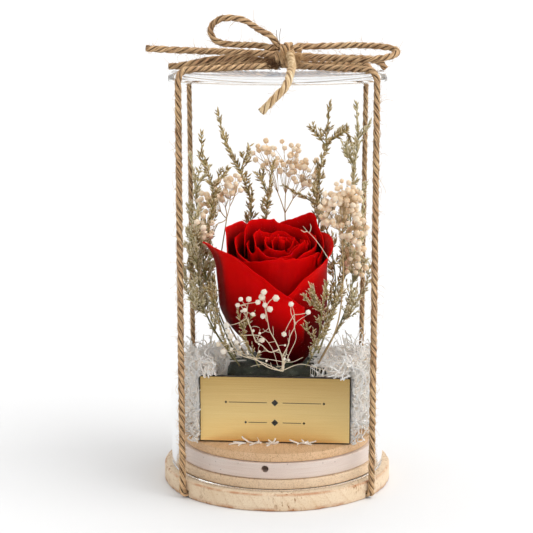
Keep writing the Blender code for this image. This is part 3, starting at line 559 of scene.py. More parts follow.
# %% The knot
KNOT_WRAPS = (
    (KNOT + Vector((0.0004, -0.0004, 0.0004)), 3.4 * MM, (4.3 * MM, 4.6 * MM), 1.9, 2.2, 0.10),
    (KNOT + Vector((-0.0030, -0.0010, -0.0018)), 3.6 * MM, (3.6 * MM, 2.9 * MM), 1.5, 0.4, 0.35),
    (KNOT + Vector((0.0034, -0.0008, -0.0012)), 2.6 * MM, (3.4 * MM, 3.2 * MM), 1.2, 3.4, -0.30),
)
KNOT_CORES = (
    ((-0.0062, -0.0030, 0.1990), (0.0116, -0.0036, 0.1986)),
    ((-0.0060, 0.0012, 0.1976), (0.0120, 0.0020, 0.1984)),
    ((-0.0058, -0.0006, 0.2022), (0.0110, 0.0008, 0.2016)),
)
STEPS_PER_WRAP = 16


def wrap_route(centre, across, reach, turns, start, lean):
    """A coil round the X direction: the twine's wraps in the knot."""
    points = []
    steps = round(turns * STEPS_PER_WRAP)
    for k in range(steps + 1):
        angle = start + 2 * math.pi * k / STEPS_PER_WRAP
        x = across * (k / steps - 0.5)
        y = reach[0] * math.cos(angle)
        z = reach[1] * math.sin(angle)
        points.append(centre + Vector((x + lean * z, y, z)))
    return points


knot_pieces = []
for count, wrap in enumerate(KNOT_WRAPS):
    route = smooth_route(wrap_route(*wrap), TWINE_STEP)
    mesh = twine_mesh("wrap", route, TWINE_RADIUS, phase=count)
    knot_pieces.append(put(f"wrap_{count}", mesh, jute, jute))
for count, (low, high) in enumerate(KNOT_CORES):
    middle = Vector(low).lerp(Vector(high), 0.5) + Vector((0, 0, 0.0006))
    route = smooth_route([low, middle, high], TWINE_STEP)
    mesh = twine_mesh("core", route, TWINE_RADIUS * 1.1, phase=count)
    knot_pieces.append(put(f"core_{count}", mesh, jute, jute))
knot = settle(join(knot_pieces, "bow_knot_jute"), "jute_twine", "bow_knot")
print("knot:", len(knot.data.polygons), "faces")

# %% [markdown]
# Loose hairs stand off all jute. Each is a thread a few millimetres long that curls away from the
# cord. They are one curve object with many short splines, given a fine bevel and turned to a
# mesh, because hair curves don't leave Blender with the model. A real fibre is 0.05 mm thick, and
# these are 0.14 mm at their root, so that they still show.

# %% Loose fibres
HAIR_RADIUS = 0.07 * MM


def strand_mesh(name, strands, flatness=0.0):
    """One mesh from many tapered strands, each a list of (point, radius)."""
    curve = bpy.data.curves.new(name, "CURVE")
    curve.dimensions = "3D"
    curve.bevel_depth = MM
    curve.bevel_resolution = 0
    curve.extrude = flatness * MM
    curve.use_fill_caps = True
    for strand in strands:
        spline = curve.splines.new("POLY")
        spline.points.add(len(strand) - 1)
        for point, (place, radius) in zip(spline.points, strand):
            point.co = (*place, 1.0)
            point.radius = radius / MM
    guide = put(name, curve)
    mesh = evaluated_mesh(guide)
    bpy.data.objects.remove(guide)
    bm = bmesh.new()
    bm.from_mesh(mesh)
    bmesh.ops.remove_doubles(bm, verts=bm.verts, dist=WELD)
    return to_mesh(name, bm)


def any_way(rng, spread=1.0):
    """A random vector, as likely to point one way as another."""
    return Vector((rng.gauss(0, spread), rng.gauss(0, spread), rng.gauss(0, spread)))


def curl(rng, start, direction, length, bend, points=5):
    """A short route that sets off in one direction and bends away at random."""
    place, heading = start.copy(), direction.normalized()
    turn = any_way(rng) * bend
    route = [place.copy()]
    for _ in range(points):
        place += heading * length / points
        route.append(place.copy())
        heading = (heading + turn / points).normalized()
    return route


def in_glass(place):
    """True where a hair would reach into the glass cylinder."""
    return place.z < GLASS_TOP and math.hypot(place.x, place.y) < GLASS_RADIUS


def hairs_on(route, rng, per_ring=2, longest=6.0 * MM):
    """Hairs that leave a cord at a flat angle, most of them short."""
    strands = []
    for point, side, up in ring_frames(route) * per_ring:
        angle = rng.uniform(0, 2 * math.pi)
        out = side * math.cos(angle) + up * math.sin(angle)
        along = side.cross(up) * rng.choice((-1, 1))
        length = MM * rng.uniform(0.9, 2.4) + longest * rng.random() ** 6
        heading = out * 0.8 + along * rng.uniform(0.4, 1.6)
        points = curl(rng, point + out * TWINE_RADIUS * 0.9, heading, length, 1.8)
        if any(p.z < 0.4 * MM or in_glass(p) for p in points):
            continue
        strands.append([(p, HAIR_RADIUS * (1 - 0.6 * k / len(points))) for k, p in enumerate(points)])
    return strands


rng = random.Random(11)
hair_strands = []
for route in [*tie_routes, *bow_routes.values()]:
    hair_strands += hairs_on(route, rng)
shade_and_stray_dark_strands = []
# Frayed tufts on the knot, the first dark as painted shade under its lower left: centre and
# spread (mm), how many, how long (mm), how thick, and which.
TUFTS = (
    (Vector((-5.0, -5.0, -3.4)) * MM, (3.0, 1.6, 1.8), 240, 2.2, 1.5, shade_and_stray_dark_strands),
    (Vector((0.0, -5.6, 1.0)) * MM, (3.0, 1.0, 3.0), 150, 2.4, 1.1, hair_strands),
    (Vector((6.4, -6.4, -0.6)) * MM, (2.4, 1.4, 2.2), 150, 2.6, 1.0, hair_strands),
)
for centre, spread, count, reach, thickness, group in TUFTS:
    for _ in range(count):
        out = Vector((rng.gauss(0, 1), rng.gauss(-0.7, 1), rng.gauss(0, 1))).normalized()
        start = KNOT + centre + Vector(rng.gauss(0, 0.5) * s * MM for s in spread)
        points = curl(rng, start, out, MM * rng.uniform(0.8, reach), 2.8)
        if not any(in_glass(p) for p in points):
            group.append([(p, thickness * HAIR_RADIUS) for p in points])
for lean in (-0.5, -0.15, 0.2):
    points = curl(rng, KNOT + Vector((-2.4, -1.0, 5.0)) * MM, Vector((lean - 0.3, 0.0, 1.0)), 8 * MM, 0.5)
    shade_and_stray_dark_strands.append([(p, 1.6 * HAIR_RADIUS) for p in points])
for name, group, finish in (
    ("loose_jute_fibres", hair_strands, hair_finish),
    ("dark_jute_fibres", shade_and_stray_dark_strands, shade_and_dark_hair),
):
    hairs = settle(put(name, strand_mesh(name, group), finish), "jute_twine")
    print(name + ":", len(group), "strands,", len(hairs.data.polygons), "faces")

# %% [markdown]
# Pine is drawn as a solid block of wood, not as a skin: growth rings are cylinders round an axis
# that runs with the grain, from front to back, and pores are fine noise stretched the same way.
# Cut across, as on the front of the rim, the stretched noise shows as dots, and cut along, as on
# top, it shows as lines. That is how the real disc looks, too. Real pores are some 0.05 mm wide,
# and these are drawn ten times as coarse, so that they show.

# %% Wood finishes
RING_SPACING = 5.0 * MM
RING_WARP = 71.4 * MM
PORE = 0.667 * MM
GRAIN_BAND = 11.1 * MM
GRAIN_STRETCH = (1.0, 0.06, 1.0)
PITH_PLACE = (0.055, 0.0, 0.030)
SCORCH_PATCH = 9.09 * MM
TEAR = 1.053 * MM
TORN_AREA = 26.3 * MM
SCORCHED = ((0.2 * MM, 2.0 * MM, 0.9), (BASE_THICKNESS - 0.35 * MM, 0.9 * MM, 0.75))


def wood_finish(name, light, dark, line, ring_strength, edge=None, pores=0.5, pits=0.3):
    """Sawn softwood: matt, pale early wood, darker late wood in thin lines, open pores."""
    material, tree, shader = new_material(name)
    place = add(tree, "ShaderNodeTexCoord").outputs["Object"]
    warp = add(tree, "ShaderNodeTexNoise", {"Vector": place, "Scale": 1 / RING_WARP}).outputs["Color"]
    shifted = add(
        tree, "ShaderNodeVectorMath", {0: warp, 1: (0.022, 0.0, 0.022), 2: place}, operation="MULTIPLY_ADD"
    ).outputs[0]
    turned = add(
        tree, "ShaderNodeMapping", {"Vector": shifted, "Location": PITH_PLACE, "Rotation": (0.0, 0.0, 0.35)}
    ).outputs[0]
    flat = add(
        tree, "ShaderNodeVectorMath", {0: turned, 1: (1.0, 0.0, 1.0)}, operation="MULTIPLY"
    ).outputs[0]
    distance = add(tree, "ShaderNodeVectorMath", {0: flat}, operation="LENGTH").outputs["Value"]
    rings = add(tree, "ShaderNodeMath", {0: distance, 1: RING_SPACING}, operation="MODULO").outputs[0]
    ring = add(tree, "ShaderNodeMapRange", {"Value": rings, "From Max": RING_SPACING}).outputs[0]
    late = add(tree, "ShaderNodeMath", {0: ring, 1: 6.0}, operation="POWER").outputs[0]
    along = add(tree, "ShaderNodeMapping", {"Vector": place, "Scale": GRAIN_STRETCH}).outputs[0]
    fine = {"Vector": along, "Scale": 1 / PORE, "Detail": 3.0, "Roughness": 0.65}
    grain = add(tree, "ShaderNodeTexNoise", fine).outputs["Fac"]
    broad = add(tree, "ShaderNodeTexNoise", {"Vector": along, "Scale": 1 / GRAIN_BAND, "Detail": 3.0})
    share = broad.outputs["Fac"]
    body = add(
        tree, "ShaderNodeMix", {0: share, 6: srgb(light), 7: srgb(dark)}, data_type="RGBA"
    ).outputs[2]
    late_share = add(tree, "ShaderNodeMath", {0: late, 1: ring_strength}, operation="MULTIPLY").outputs[0]
    ringed = add(
        tree, "ShaderNodeMix", {0: late_share, 6: body, 7: srgb(line)}, data_type="RGBA"
    ).outputs[2]
    speck = add(
        tree, "ShaderNodeMapRange", {"Value": grain, "From Min": 0.56, "From Max": 0.72, "To Max": pores}
    ).outputs[0]
    pored = add(tree, "ShaderNodeMix", {0: speck, 6: ringed, 7: srgb(line)}, data_type="RGBA").outputs[2]
    crumb = {"Vector": place, "Scale": 1 / PORE, "Roughness": 0.6}
    crumbs = add(tree, "ShaderNodeTexNoise", crumb).outputs["Fac"]
    pit = add(
        tree, "ShaderNodeMapRange", {"Value": crumbs, "From Min": 0.50, "From Max": 0.34, "To Max": pits}
    ).outputs[0]
    colour = add(tree, "ShaderNodeMix", {0: pit, 6: pored, 7: srgb(line)}, data_type="RGBA").outputs[2]
    if edge:
        colour = edge(tree, place, colour)
    rough = add(tree, "ShaderNodeMath", {0: crumbs, 1: pits, 2: grain}, operation="MULTIPLY_ADD").outputs[0]
    bump = add(tree, "ShaderNodeBump", {"Height": rough, "Strength": 0.6, "Distance": 0.2 * MM}).outputs[0]
    wire(tree, shader, {"Base Color": colour, "Normal": bump, "Roughness": 0.68, "Specular IOR Level": 0.3})
    return material


def scorched_edges(tree, place, colour):
    """The saw leaves a brown burnt line along both edges of the rim, broken into patches."""
    height = add(tree, "ShaderNodeSeparateXYZ", {"Vector": place}).outputs["Z"]
    patch = {"Vector": place, "Scale": 1 / SCORCH_PATCH, "Detail": 4.0, "Roughness": 0.6}
    patches = add(tree, "ShaderNodeTexNoise", patch).outputs["Fac"]
    level = add(tree, "ShaderNodeVectorMath", {0: place, 1: (1.0, 1.0, 0.0)}, operation="MULTIPLY")
    outwards = add(tree, "ShaderNodeVectorMath", {0: level.outputs[0]}, operation="LENGTH").outputs["Value"]
    rim_band = {"From Min": BASE_RADIUS - 1.3 * MM, "From Max": BASE_RADIUS - 0.6 * MM}
    rim = add(tree, "ShaderNodeMapRange", {"Value": outwards, **rim_band}).outputs[0]
    for edge, reach, strength in SCORCHED:
        away = add(tree, "ShaderNodeMath", {0: height, 1: edge}, operation="SUBTRACT").outputs[0]
        size = add(tree, "ShaderNodeMath", {0: away}, operation="ABSOLUTE").outputs[0]
        near = add(tree, "ShaderNodeMapRange", {"Value": size, "From Min": reach, "From Max": 0.1 * reach})
        burnt = {"From Min": 0.42, "From Max": 0.60, "To Min": 0.12, "To Max": strength}
        patchy = add(tree, "ShaderNodeMapRange", {"Value": patches, **burnt}).outputs[0]
        share = add(
            tree, "ShaderNodeMath", {0: near.outputs[0], 1: patchy}, operation="MULTIPLY"
        ).outputs[0]
        on_rim = add(tree, "ShaderNodeMath", {0: share, 1: rim}, operation="MULTIPLY").outputs[0]
        burn = add(tree, "ShaderNodeMix", {0: on_rim, 6: colour, 7: srgb("#A8683A")}, data_type="RGBA")
        colour = burn.outputs[2]
    return colour


def torn_rim(tree, place, colour):
    """End grain on the rim: short dark tears where the saw pulled fibres out, and burnt edges."""
    thin = add(tree, "ShaderNodeMapping", {"Vector": place, "Scale": (1.0, 1.0, 0.32)}).outputs[0]
    tears = add(tree, "ShaderNodeTexNoise", {"Vector": thin, "Scale": 1 / TEAR})
    where = add(tree, "ShaderNodeTexNoise", {"Vector": place, "Scale": 1 / TORN_AREA, "Detail": 1.0})
    torn, near = (
        add(tree, "ShaderNodeMapRange", {"Value": node.outputs["Fac"], "From Min": low, "From Max": high})
        for node, low, high in ((tears, 0.59, 0.67), (where, 0.49, 0.61))
    )
    share = add(
        tree, "ShaderNodeMath", {0: torn.outputs[0], 1: near.outputs[0]}, operation="MULTIPLY"
    ).outputs[0]
    dark = add(
        tree, "ShaderNodeMix", {0: share, 6: colour, 7: srgb("#8A5A30")}, data_type="RGBA"
    ).outputs[2]
    return scorched_edges(tree, place, dark)


pine = wood_finish("sawn_pine", "#E9D8BF", "#D6BC9A", "#B07C48", 0.22, torn_rim, 0.36, 0.22)
# The ring's pine is painted lighter than the base's, as painted light against the shade behind the glass.
brown_wood = wood_finish("brown_sawn_pine", "#FCE6CA", "#EECBA2", "#A0744A", 0.10, None, 0.55, 0.22)
birch = wood_finish("sawn_disc_pine", "#EDCAA4", "#DFB688", "#9A6536", 0.10, None, 0.45, 0.42)
print("wood: growth rings every", RING_SPACING / MM, "mm")

# %% [markdown]
# Painted wood keeps a trace of the brush: very fine streaks that run round the drum, a few specks
# of dust under the paint, and a faint shine.

# %% Painted drum finish
STREAK = 0.714 * MM
BLOTCH = 22.2 * MM
DUST_SPACING = 3.85 * MM

white_paint, tree, shader = new_material("brushed_white_paint")
place = add(tree, "ShaderNodeTexCoord").outputs["Object"]
along = add(tree, "ShaderNodeMapping", {"Vector": place, "Scale": (0.04, 0.04, 1.0)}).outputs[0]
streaks = add(
    tree, "ShaderNodeTexNoise", {"Vector": along, "Scale": 1 / STREAK, "Detail": 3.0}
).outputs["Fac"]
blotches = add(
    tree, "ShaderNodeTexNoise", {"Vector": place, "Scale": 1 / BLOTCH, "Detail": 3.0}
).outputs["Fac"]
brushed = {0: streaks, 6: srgb("#DCC5B6"), 7: srgb("#EFE0D6")}
coat = add(tree, "ShaderNodeMix", brushed, data_type="RGBA").outputs[2]
worn = add(
    tree, "ShaderNodeMix", {0: 0.35, 6: coat, 7: blotches}, data_type="RGBA", blend_type="SOFT_LIGHT"
).outputs[2]
dots = add(tree, "ShaderNodeTexVoronoi", {"Vector": place, "Scale": 1 / DUST_SPACING}).outputs["Distance"]
dust = {"Value": dots, "From Min": 0.05, "From Max": 0.09, "To Min": 0.55, "To Max": 0.0}
speck = add(tree, "ShaderNodeMapRange", dust).outputs[0]
final = add(tree, "ShaderNodeMix", {0: speck, 6: worn, 7: srgb("#7C5A45")}, data_type="RGBA").outputs[2]
bump = add(tree, "ShaderNodeBump", {"Height": streaks, "Strength": 0.25, "Distance": 0.1 * MM}).outputs[0]
wire(tree, shader, {"Base Color": final, "Normal": bump, "Roughness": 0.42})
print("paint: brush streaks every", STREAK / MM, "mm")

# %% [markdown]
# The wooden pieces are turned: half a section is drawn from the axis outwards and spun once round.
# Each profile gets softly broken edges, and the base gets small nicks along its edges where the
# saw tore the grain. The grooves that let the ties pass below the base are cut with a Boolean.

# %% Turned pieces
TURN_STEPS = 160
BASE_TURN_STEPS = 256
LOCATING = (46.3 * MM, BASE_THICKNESS + CLEARANCE, BASE_THICKNESS + CLEARANCE + 4.0 * MM)
DRUM = (45.0 * MM, LOCATING[2] + CLEARANCE, LOCATING[2] + CLEARANCE + 7.2 * MM)
DISC = (43.5 * MM, DRUM[2] + CLEARANCE, DRUM[2] + CLEARANCE + 3.8 * MM)
NICK_DEPTH = 0.9 * MM
NICK_BAND = 1.2 * MM
NICK_SEED = Vector((4.0, 0, 0))
GROOVE_WIDTH = 4.0 * MM


def spin(profile, steps=TURN_STEPS):
    """Turns a profile of (radius, height) once round the Z axis."""
    bm = bmesh.new()
    points = [bm.verts.new((radius, 0.0, height)) for radius, height in profile]
    edges = [bm.edges.new(pair) for pair in zip(points, points[1:])]
    bmesh.ops.spin(
        bm, geom=points + edges, cent=(0, 0, 0), axis=(0, 0, 1),
        angle=2 * math.pi, steps=steps, use_merge=True,
    )
    bmesh.ops.remove_doubles(bm, verts=bm.verts, dist=WELD)
    return bm


def rounded(corner, before, after, radius, steps=4):
    """The points of a small round in place of a sharp corner of a profile."""
    corner, before, after = Vector(corner), Vector(before), Vector(after)
    start = corner + (before - corner).normalized() * radius
    end = corner + (after - corner).normalized() * radius
    points = []
    for k in range(steps + 1):
        t = k / steps
        points.append(tuple(start * (1 - t) ** 2 + corner * 2 * t * (1 - t) + end * t**2))
    return points


def disc_outline(radius, low, high, edge):
    """Half section of a disc with softly rounded edges, from its top's centre to its underside's."""
    inner_top, inner_low = (0.5 * radius, high), (0.5 * radius, low)
    middle = (radius, (low + high) / 2)
    outline = [(0.0, high), inner_top]
    outline += rounded((radius, high), inner_top, (radius, low), edge)
    outline += [middle]
    outline += rounded((radius, low), middle, inner_low, edge)
    outline += [inner_low, (0.0, low)]
    return outline


def nick(bm):
    """Pushes the base's rim in and down a little where noise is strong."""
    for vertex in bm.verts:
        radius = math.hypot(vertex.co.x, vertex.co.y)
        if radius < 0.8 * BASE_RADIUS:
            continue
        from_edge = min(abs(vertex.co.z - BASE_THICKNESS), abs(vertex.co.z))
        near_edge = max(0.0, 1 - from_edge / NICK_BAND)
        rough = noise.noise(Vector(vertex.co) * 260 + NICK_SEED)
        soft = noise.noise(Vector(vertex.co) * 40)
        pull = NICK_DEPTH * (max(0.0, rough - 0.1) * near_edge + 0.15 * soft)
        vertex.co.x *= 1 - pull / radius
        vertex.co.y *= 1 - pull / radius
        if vertex.co.z > BASE_THICKNESS - 0.5 * MM:
            vertex.co.z -= 0.5 * pull * near_edge
    return bm


outline = disc_outline(BASE_RADIUS, 0.0, BASE_THICKNESS, 0.9 * MM)
base = put("pine_base", to_mesh("pine_base", nick(spin(outline, BASE_TURN_STEPS))), pine)
cutters = []
for side in (-1, 1):
    bm = bmesh.new()
    bmesh.ops.create_cube(bm, size=1.0)
    bmesh.ops.scale(bm, vec=(GROOVE_WIDTH, 2.4 * BASE_RADIUS, 2 * GROOVE_DEPTH), verts=bm.verts)
    turn = Matrix.Rotation(side * math.radians(GROOVE_ANGLE), 3, "Z")
    bmesh.ops.rotate(bm, cent=(0, 0, 0), matrix=turn, verts=bm.verts)
    cutters.append(put(f"groove_{side}", to_mesh("groove", bm)))
carve(base, cutters)
base.data.set_sharp_from_angle(angle=math.radians(35))
settle(base, "pine", "base_plate")

for name, sizes, edge, finish, slot, node in (
    ("locating_ring", LOCATING, 0.3 * MM, brown_wood, "brown_wood", "locating_disc"),
    ("display_disc_pine", DISC, 0.25 * MM, birch, "light_wood", "display_disc"),
):
    piece = put(name, to_mesh(name, spin(disc_outline(*sizes, edge))), finish)
    piece.data.set_sharp_from_angle(angle=math.radians(50))
    settle(piece, slot, node)
print("base:", len(base.data.polygons), "faces")

# %% [markdown]
# The drum has one small round hole in front, painted over at its mouth. It is drilled with a
# Boolean, because a hole in a curved wall is a real edge and catches the light.

# %% Painted drum
HOLE_RADIUS = 1.6 * MM
HOLE_DEPTH = 9.0 * MM
HOLE_ANGLE = -6.9
HOLE_DROP = 2.6 * MM

drum = put("drum_painted", to_mesh("drum", spin(disc_outline(*DRUM, 0.4 * MM))), white_paint)
mouth = cylinder_point(DRUM[0] + MM, HOLE_ANGLE, DRUM[2] - HOLE_DROP)
inward = cylinder_point(-1.0, HOLE_ANGLE, 0.0)
aim = Vector((0, 0, 1)).rotation_difference(inward).to_matrix()
bm = bmesh.new()
bmesh.ops.create_cone(
    bm, cap_ends=True, segments=40, radius1=HOLE_RADIUS, radius2=HOLE_RADIUS, depth=HOLE_DEPTH + MM
)
bmesh.ops.rotate(bm, cent=(0, 0, 0), matrix=aim, verts=bm.verts)
bmesh.ops.translate(bm, vec=mouth + inward * (HOLE_DEPTH + MM) / 2, verts=bm.verts)
carve(drum, [put("drill", to_mesh("drill", bm))])
drum.data.set_sharp_from_angle(angle=math.radians(40))
settle(drum, "white_paint", "painted_drum")
print("drum:", len(drum.data.polygons), "faces")

# %% [markdown]
# The glass is one blown and ground shell of borosilicate, 2.8 mm thick, with a flat top and a
# small round shoulder. Clear glass needs a real wall with two surfaces, because the bright and
# dark lines at its shoulder and foot come from light that bends twice. This glass hardly shows
# against a white room, so its index is set lower than the 1.47 of real borosilicate, and a film a
# quarter of a wavelength thick, as on coated lenses, takes away most of what it reflects.

# %% Glass
GLASS_WALL = 2.8 * MM
GLASS_FOOT = BASE_THICKNESS + CLEARANCE
GLASS_INDEX = 1.16
FILM_INDEX = 1.077
FILM_NANOMETRES = 128.0
GLASS_TURN_STEPS = 192


def quarter(radius, top, fillet, steps):
    """A quarter round from a flat top down to a wall."""
    angles = [math.pi / 2 * k / steps for k in range(steps + 1)]
    return [(radius - fillet + fillet * math.sin(a), top - fillet + fillet * math.cos(a)) for a in angles]


inner = GLASS_RADIUS - GLASS_WALL
wall_top = GLASS_TOP - GLASS_SHOULDER
heights = [wall_top - k * (wall_top - GLASS_FOOT - MM) / 6 for k in range(1, 6)]
outside = [*quarter(GLASS_RADIUS, GLASS_TOP, GLASS_SHOULDER, 10), *[(GLASS_RADIUS, h) for h in heights]]
foot = rounded((GLASS_RADIUS, GLASS_FOOT), (GLASS_RADIUS, GLASS_TOP), (inner, GLASS_FOOT), 0.6 * MM)
foot += rounded((inner, GLASS_FOOT), (GLASS_RADIUS, GLASS_FOOT), (inner, GLASS_TOP), 0.6 * MM)
inside = [(inner, h) for h in reversed(heights)]
inside += reversed(quarter(inner, GLASS_TOP - GLASS_WALL, 0.8 * GLASS_SHOULDER, 8))
profile = [(0.0, GLASS_TOP), *outside, *foot, *inside, (0.0, GLASS_TOP - GLASS_WALL)]
clear_glass, tree, shader = new_material("clear_borosilicate_glass")
wire(tree, shader, {"Base Color": srgb("#FEFEFE"), "Roughness": 0.0, "IOR": GLASS_INDEX})
wire(tree, shader, {"Thin Film IOR": FILM_INDEX, "Thin Film Thickness": FILM_NANOMETRES})
wire(tree, shader, {"Transmission Weight": 1.0})
depth = add(tree, "ShaderNodeVolumeAbsorption", {"Color": srgb("#F4F4F4"), "Density": 10.0}).outputs[0]
wire(tree, tree.nodes["Material Output"], {"Volume": depth})
glass = put("glass_cylinder", to_mesh("glass", spin(profile, GLASS_TURN_STEPS)), clear_glass)
settle(glass, "clear_glass", "glass_dome")
print("glass:", len(glass.data.polygons), "faces")

# %% [markdown]
# The plate is an engraver's laminate: a thin brushed gold skin on a black core. Brushing runs from
# side to side, so the skin's fine lines do, too. Its gold carries a painted reflection: it is
# lightest at the foot and darker towards the top and the right, and two ramps over the plate's
# height and width paint that.

# %% Plate finishes
BRUSH_PITCH = 0.20 * MM
PLATE_FOOT, PLATE_HEAD = 23.5 * MM, 56.0 * MM

gold_skin, tree, shader = new_material("brushed_gold_laminate")
place = add(tree, "ShaderNodeTexCoord").outputs["Object"]
stroke = add(tree, "ShaderNodeMapping", {"Vector": place, "Scale": (0.02, 0.02, 1.0)}).outputs[0]
lines = {"Vector": stroke, "Scale": 1.0 / BRUSH_PITCH / 3, "Detail": 4.0, "Roughness": 0.7}
brushing = add(tree, "ShaderNodeTexNoise", lines).outputs["Fac"]
parts = add(tree, "ShaderNodeSeparateXYZ", {"Vector": place})
height = {"Value": parts.outputs["Z"], "From Min": PLATE_FOOT, "From Max": PLATE_HEAD}
rise = add(tree, "ShaderNodeMapRange", height).outputs[0]
# Painted reflection: the gold is lightest at the foot and darker towards the top.
painted_reflection_golds = ((0.0, "#FFCF8C"), (0.08, "#EFCB86"), (0.45, "#E0C386"), (0.72, "#D0B177"), (1.0, "#B8995E"))
gold = set_stops(add(tree, "ShaderNodeValToRGB", {"Fac": rise}), *painted_reflection_golds)
# Painted reflection: the gold darkens towards the right.
width = {
    "Value": parts.outputs["X"], "From Min": -20 * MM, "From Max": 34 * MM,
    "To Min": 1.0, "To Max": 0.84,
}
across = add(tree, "ShaderNodeMapRange", width).outputs[0]
level = add(tree, "ShaderNodeVectorMath", {0: gold, "Scale": across}, operation="SCALE").outputs[0]
shaded = add(
    tree, "ShaderNodeMix", {0: 0.32, 6: level, 7: brushing}, data_type="RGBA", blend_type="SOFT_LIGHT"
).outputs[2]
bump = add(tree, "ShaderNodeBump", {"Height": brushing, "Strength": 0.2, "Distance": 0.05 * MM}).outputs[0]
wire(tree, shader, {"Base Color": shaded, "Normal": bump, "Metallic": 1.0, "Roughness": 0.40})

black_core, tree, shader = new_material("black_laminate_core")
wire(tree, shader, {"Base Color": srgb("#2A2622"), "Roughness": 0.6})
print("plate: brushed lines every", BRUSH_PITCH / MM, "mm")

# %% [markdown]
# The plate's front edges are bevelled, so that the black core shows as a dark line round it. Its
# engraving is two fine rules, each with a lozenge in the middle and a small one at both ends,
# raised a hair so that they have real edges.

# %% The plate
PLATE_SIZE = Vector((68.5, 1.6, 31.0)) * MM
PLATE_CENTRE = (-1.0 * MM, -26.2 * MM)
PLATE_TURN = math.radians(-4.2)
PLATE_EDGE = 0.5 * MM
DISC_TOP = DISC[2]
RULES = ((3.2 * MM, 21.0 * MM), (-6.2 * MM, 12.0 * MM))
RULE_START, RULE_WIDTH, RULE_RISE = 3.6 * MM, 0.32 * MM, 0.06 * MM
END_LOZENGE, END_GAP, MIDDLE_LOZENGE = 0.95 * MM, 1.3 * MM, 2.3 * MM


def flat_bar(bm, centre, size, turn=0.0):
    """A thin raised bar on the plate's face, in the plate's own X and Z."""
    made = bmesh.ops.create_cube(bm, size=1.0)["verts"]
    bmesh.ops.scale(bm, vec=(size[0], RULE_RISE, size[1]), verts=made)
    bmesh.ops.rotate(bm, cent=(0, 0, 0), matrix=Matrix.Rotation(turn, 3, "Y"), verts=made)
    bmesh.ops.translate(bm, vec=(centre[0], -PLATE_SIZE.y / 2, centre[1]), verts=made)
    return made


bm = bmesh.new()
bmesh.ops.create_cube(bm, size=1.0)
bmesh.ops.scale(bm, vec=PLATE_SIZE, verts=bm.verts)
front_edges = [e for e in bm.edges if all(v.co.y < 0 for v in e.verts)]
bmesh.ops.bevel(
    bm, geom=front_edges, offset=PLATE_EDGE, segments=2, profile=0.5, affect="EDGES", material=-1
)
skin = max(bm.faces, key=lambda f: -f.calc_center_median().y * f.calc_area())
for face in bm.faces:
    face.material_index = 0 if face == skin else 1
ornament = []
for row, half in RULES:
    for side in (-1, 1):
        centre = (side * (RULE_START + half) / 2, row)
        ornament += flat_bar(bm, centre, (half - RULE_START, RULE_WIDTH))
        ornament += flat_bar(bm, (side * (half + END_GAP), row), (END_LOZENGE, END_LOZENGE), math.pi / 4)
    ornament += flat_bar(bm, (0.0, row), (MIDDLE_LOZENGE, MIDDLE_LOZENGE), math.pi / 4)
for vertex in ornament:
    for face in vertex.link_faces:
        face.material_index = 1
bmesh.ops.rotate(bm, cent=(0, 0, 0), matrix=Matrix.Rotation(PLATE_TURN, 3, "Z"), verts=bm.verts)
bmesh.ops.translate(bm, vec=(*PLATE_CENTRE, DISC_TOP + CLEARANCE + PLATE_SIZE.z / 2), verts=bm.verts)
mesh = to_mesh("plate", bm)
mesh.set_sharp_from_angle(angle=math.radians(20))
plate = settle(put("engraved_plate", mesh, gold_skin, black_core), "gold_laminate", "face_plate")
print("plate:", len(plate.data.polygons), "faces")

# %% [markdown]
# Floral foam is a crumbly open foam that holds cut stems. It is seen only in small dark patches
# between the flowers, so a block with rounded edges and a pitted surface is enough.

# %% Foam
FOAM_SIZE = Vector((46.0, 34.0, 32.5)) * MM
FOAM_TOP = DISC_TOP + CLEARANCE + FOAM_SIZE.z
FOAM_EDGE = 2.5 * MM
FOAM_CELL = 1.11 * MM
FOAM_STAIN = 8.33 * MM

foam_finish, tree, shader = new_material("dark_floral_foam")
place = add(tree, "ShaderNodeTexCoord").outputs["Object"]
cells = add(tree, "ShaderNodeTexVoronoi", {"Vector": place, "Scale": 1 / FOAM_CELL}).outputs["Distance"]
tint = add(
    tree, "ShaderNodeTexNoise", {"Vector": place, "Scale": 1 / FOAM_STAIN, "Detail": 3.0}
).outputs["Fac"]
colour = set_stops(add(tree, "ShaderNodeValToRGB", {"Fac": tint}), (0.3, "#22261F"), (0.7, "#4C5044"))
bump = add(tree, "ShaderNodeBump", {"Height": cells, "Strength": 0.6, "Distance": 0.4 * MM}).outputs[0]
wire(tree, shader, {"Base Color": colour, "Normal": bump, "Roughness": 0.9})

bm = bmesh.new()
bmesh.ops.create_cube(bm, size=1.0)
bmesh.ops.scale(bm, vec=FOAM_SIZE, verts=bm.verts)
bmesh.ops.bevel(
    bm, geom=list(bm.edges), offset=FOAM_EDGE, segments=4, profile=0.5, affect="EDGES", material=-1
)
bmesh.ops.translate(bm, vec=(0.0, 0.0, FOAM_TOP - FOAM_SIZE.z / 2), verts=bm.verts)
foam = settle(put("foam_block", to_mesh("foam", bm), foam_finish), "floral_foam", "floral_foam")
print("foam: top at", round(FOAM_TOP / MM, 1), "mm")

# %% [markdown]
# Wood wool is shredded, bleached wood. Each ribbon is nearly white, with a warmer tone here and
# there, and so thin that some light passes through it.

# %% Wood wool finish
WOOL_STAIN = 3.85 * MM

wool_finish, tree, shader = new_material("bleached_wood_wool")
place = add(tree, "ShaderNodeTexCoord").outputs["Object"]
tint = add(
    tree, "ShaderNodeTexNoise", {"Vector": place, "Scale": 1 / WOOL_STAIN, "Detail": 3.0}
).outputs["Fac"]
whites = ((0.28, "#D8C3A2"), (0.38, "#FFF5E8"), (0.60, "#FFFDF9"))
colour = set_stops(add(tree, "ShaderNodeValToRGB", {"Fac": tint}), *whites)
wire(tree, shader, {"Base Color": colour, "Roughness": 0.7, "Specular IOR Level": 0.3})
wire(tree, shader, {"Subsurface Weight": 0.35, "Subsurface Radius": (1.0, 0.95, 0.88)})
wire(tree, shader, {"Subsurface Scale": 1.2 * MM})
print("wood wool: a warmer tone every", WOOL_STAIN / MM, "mm")

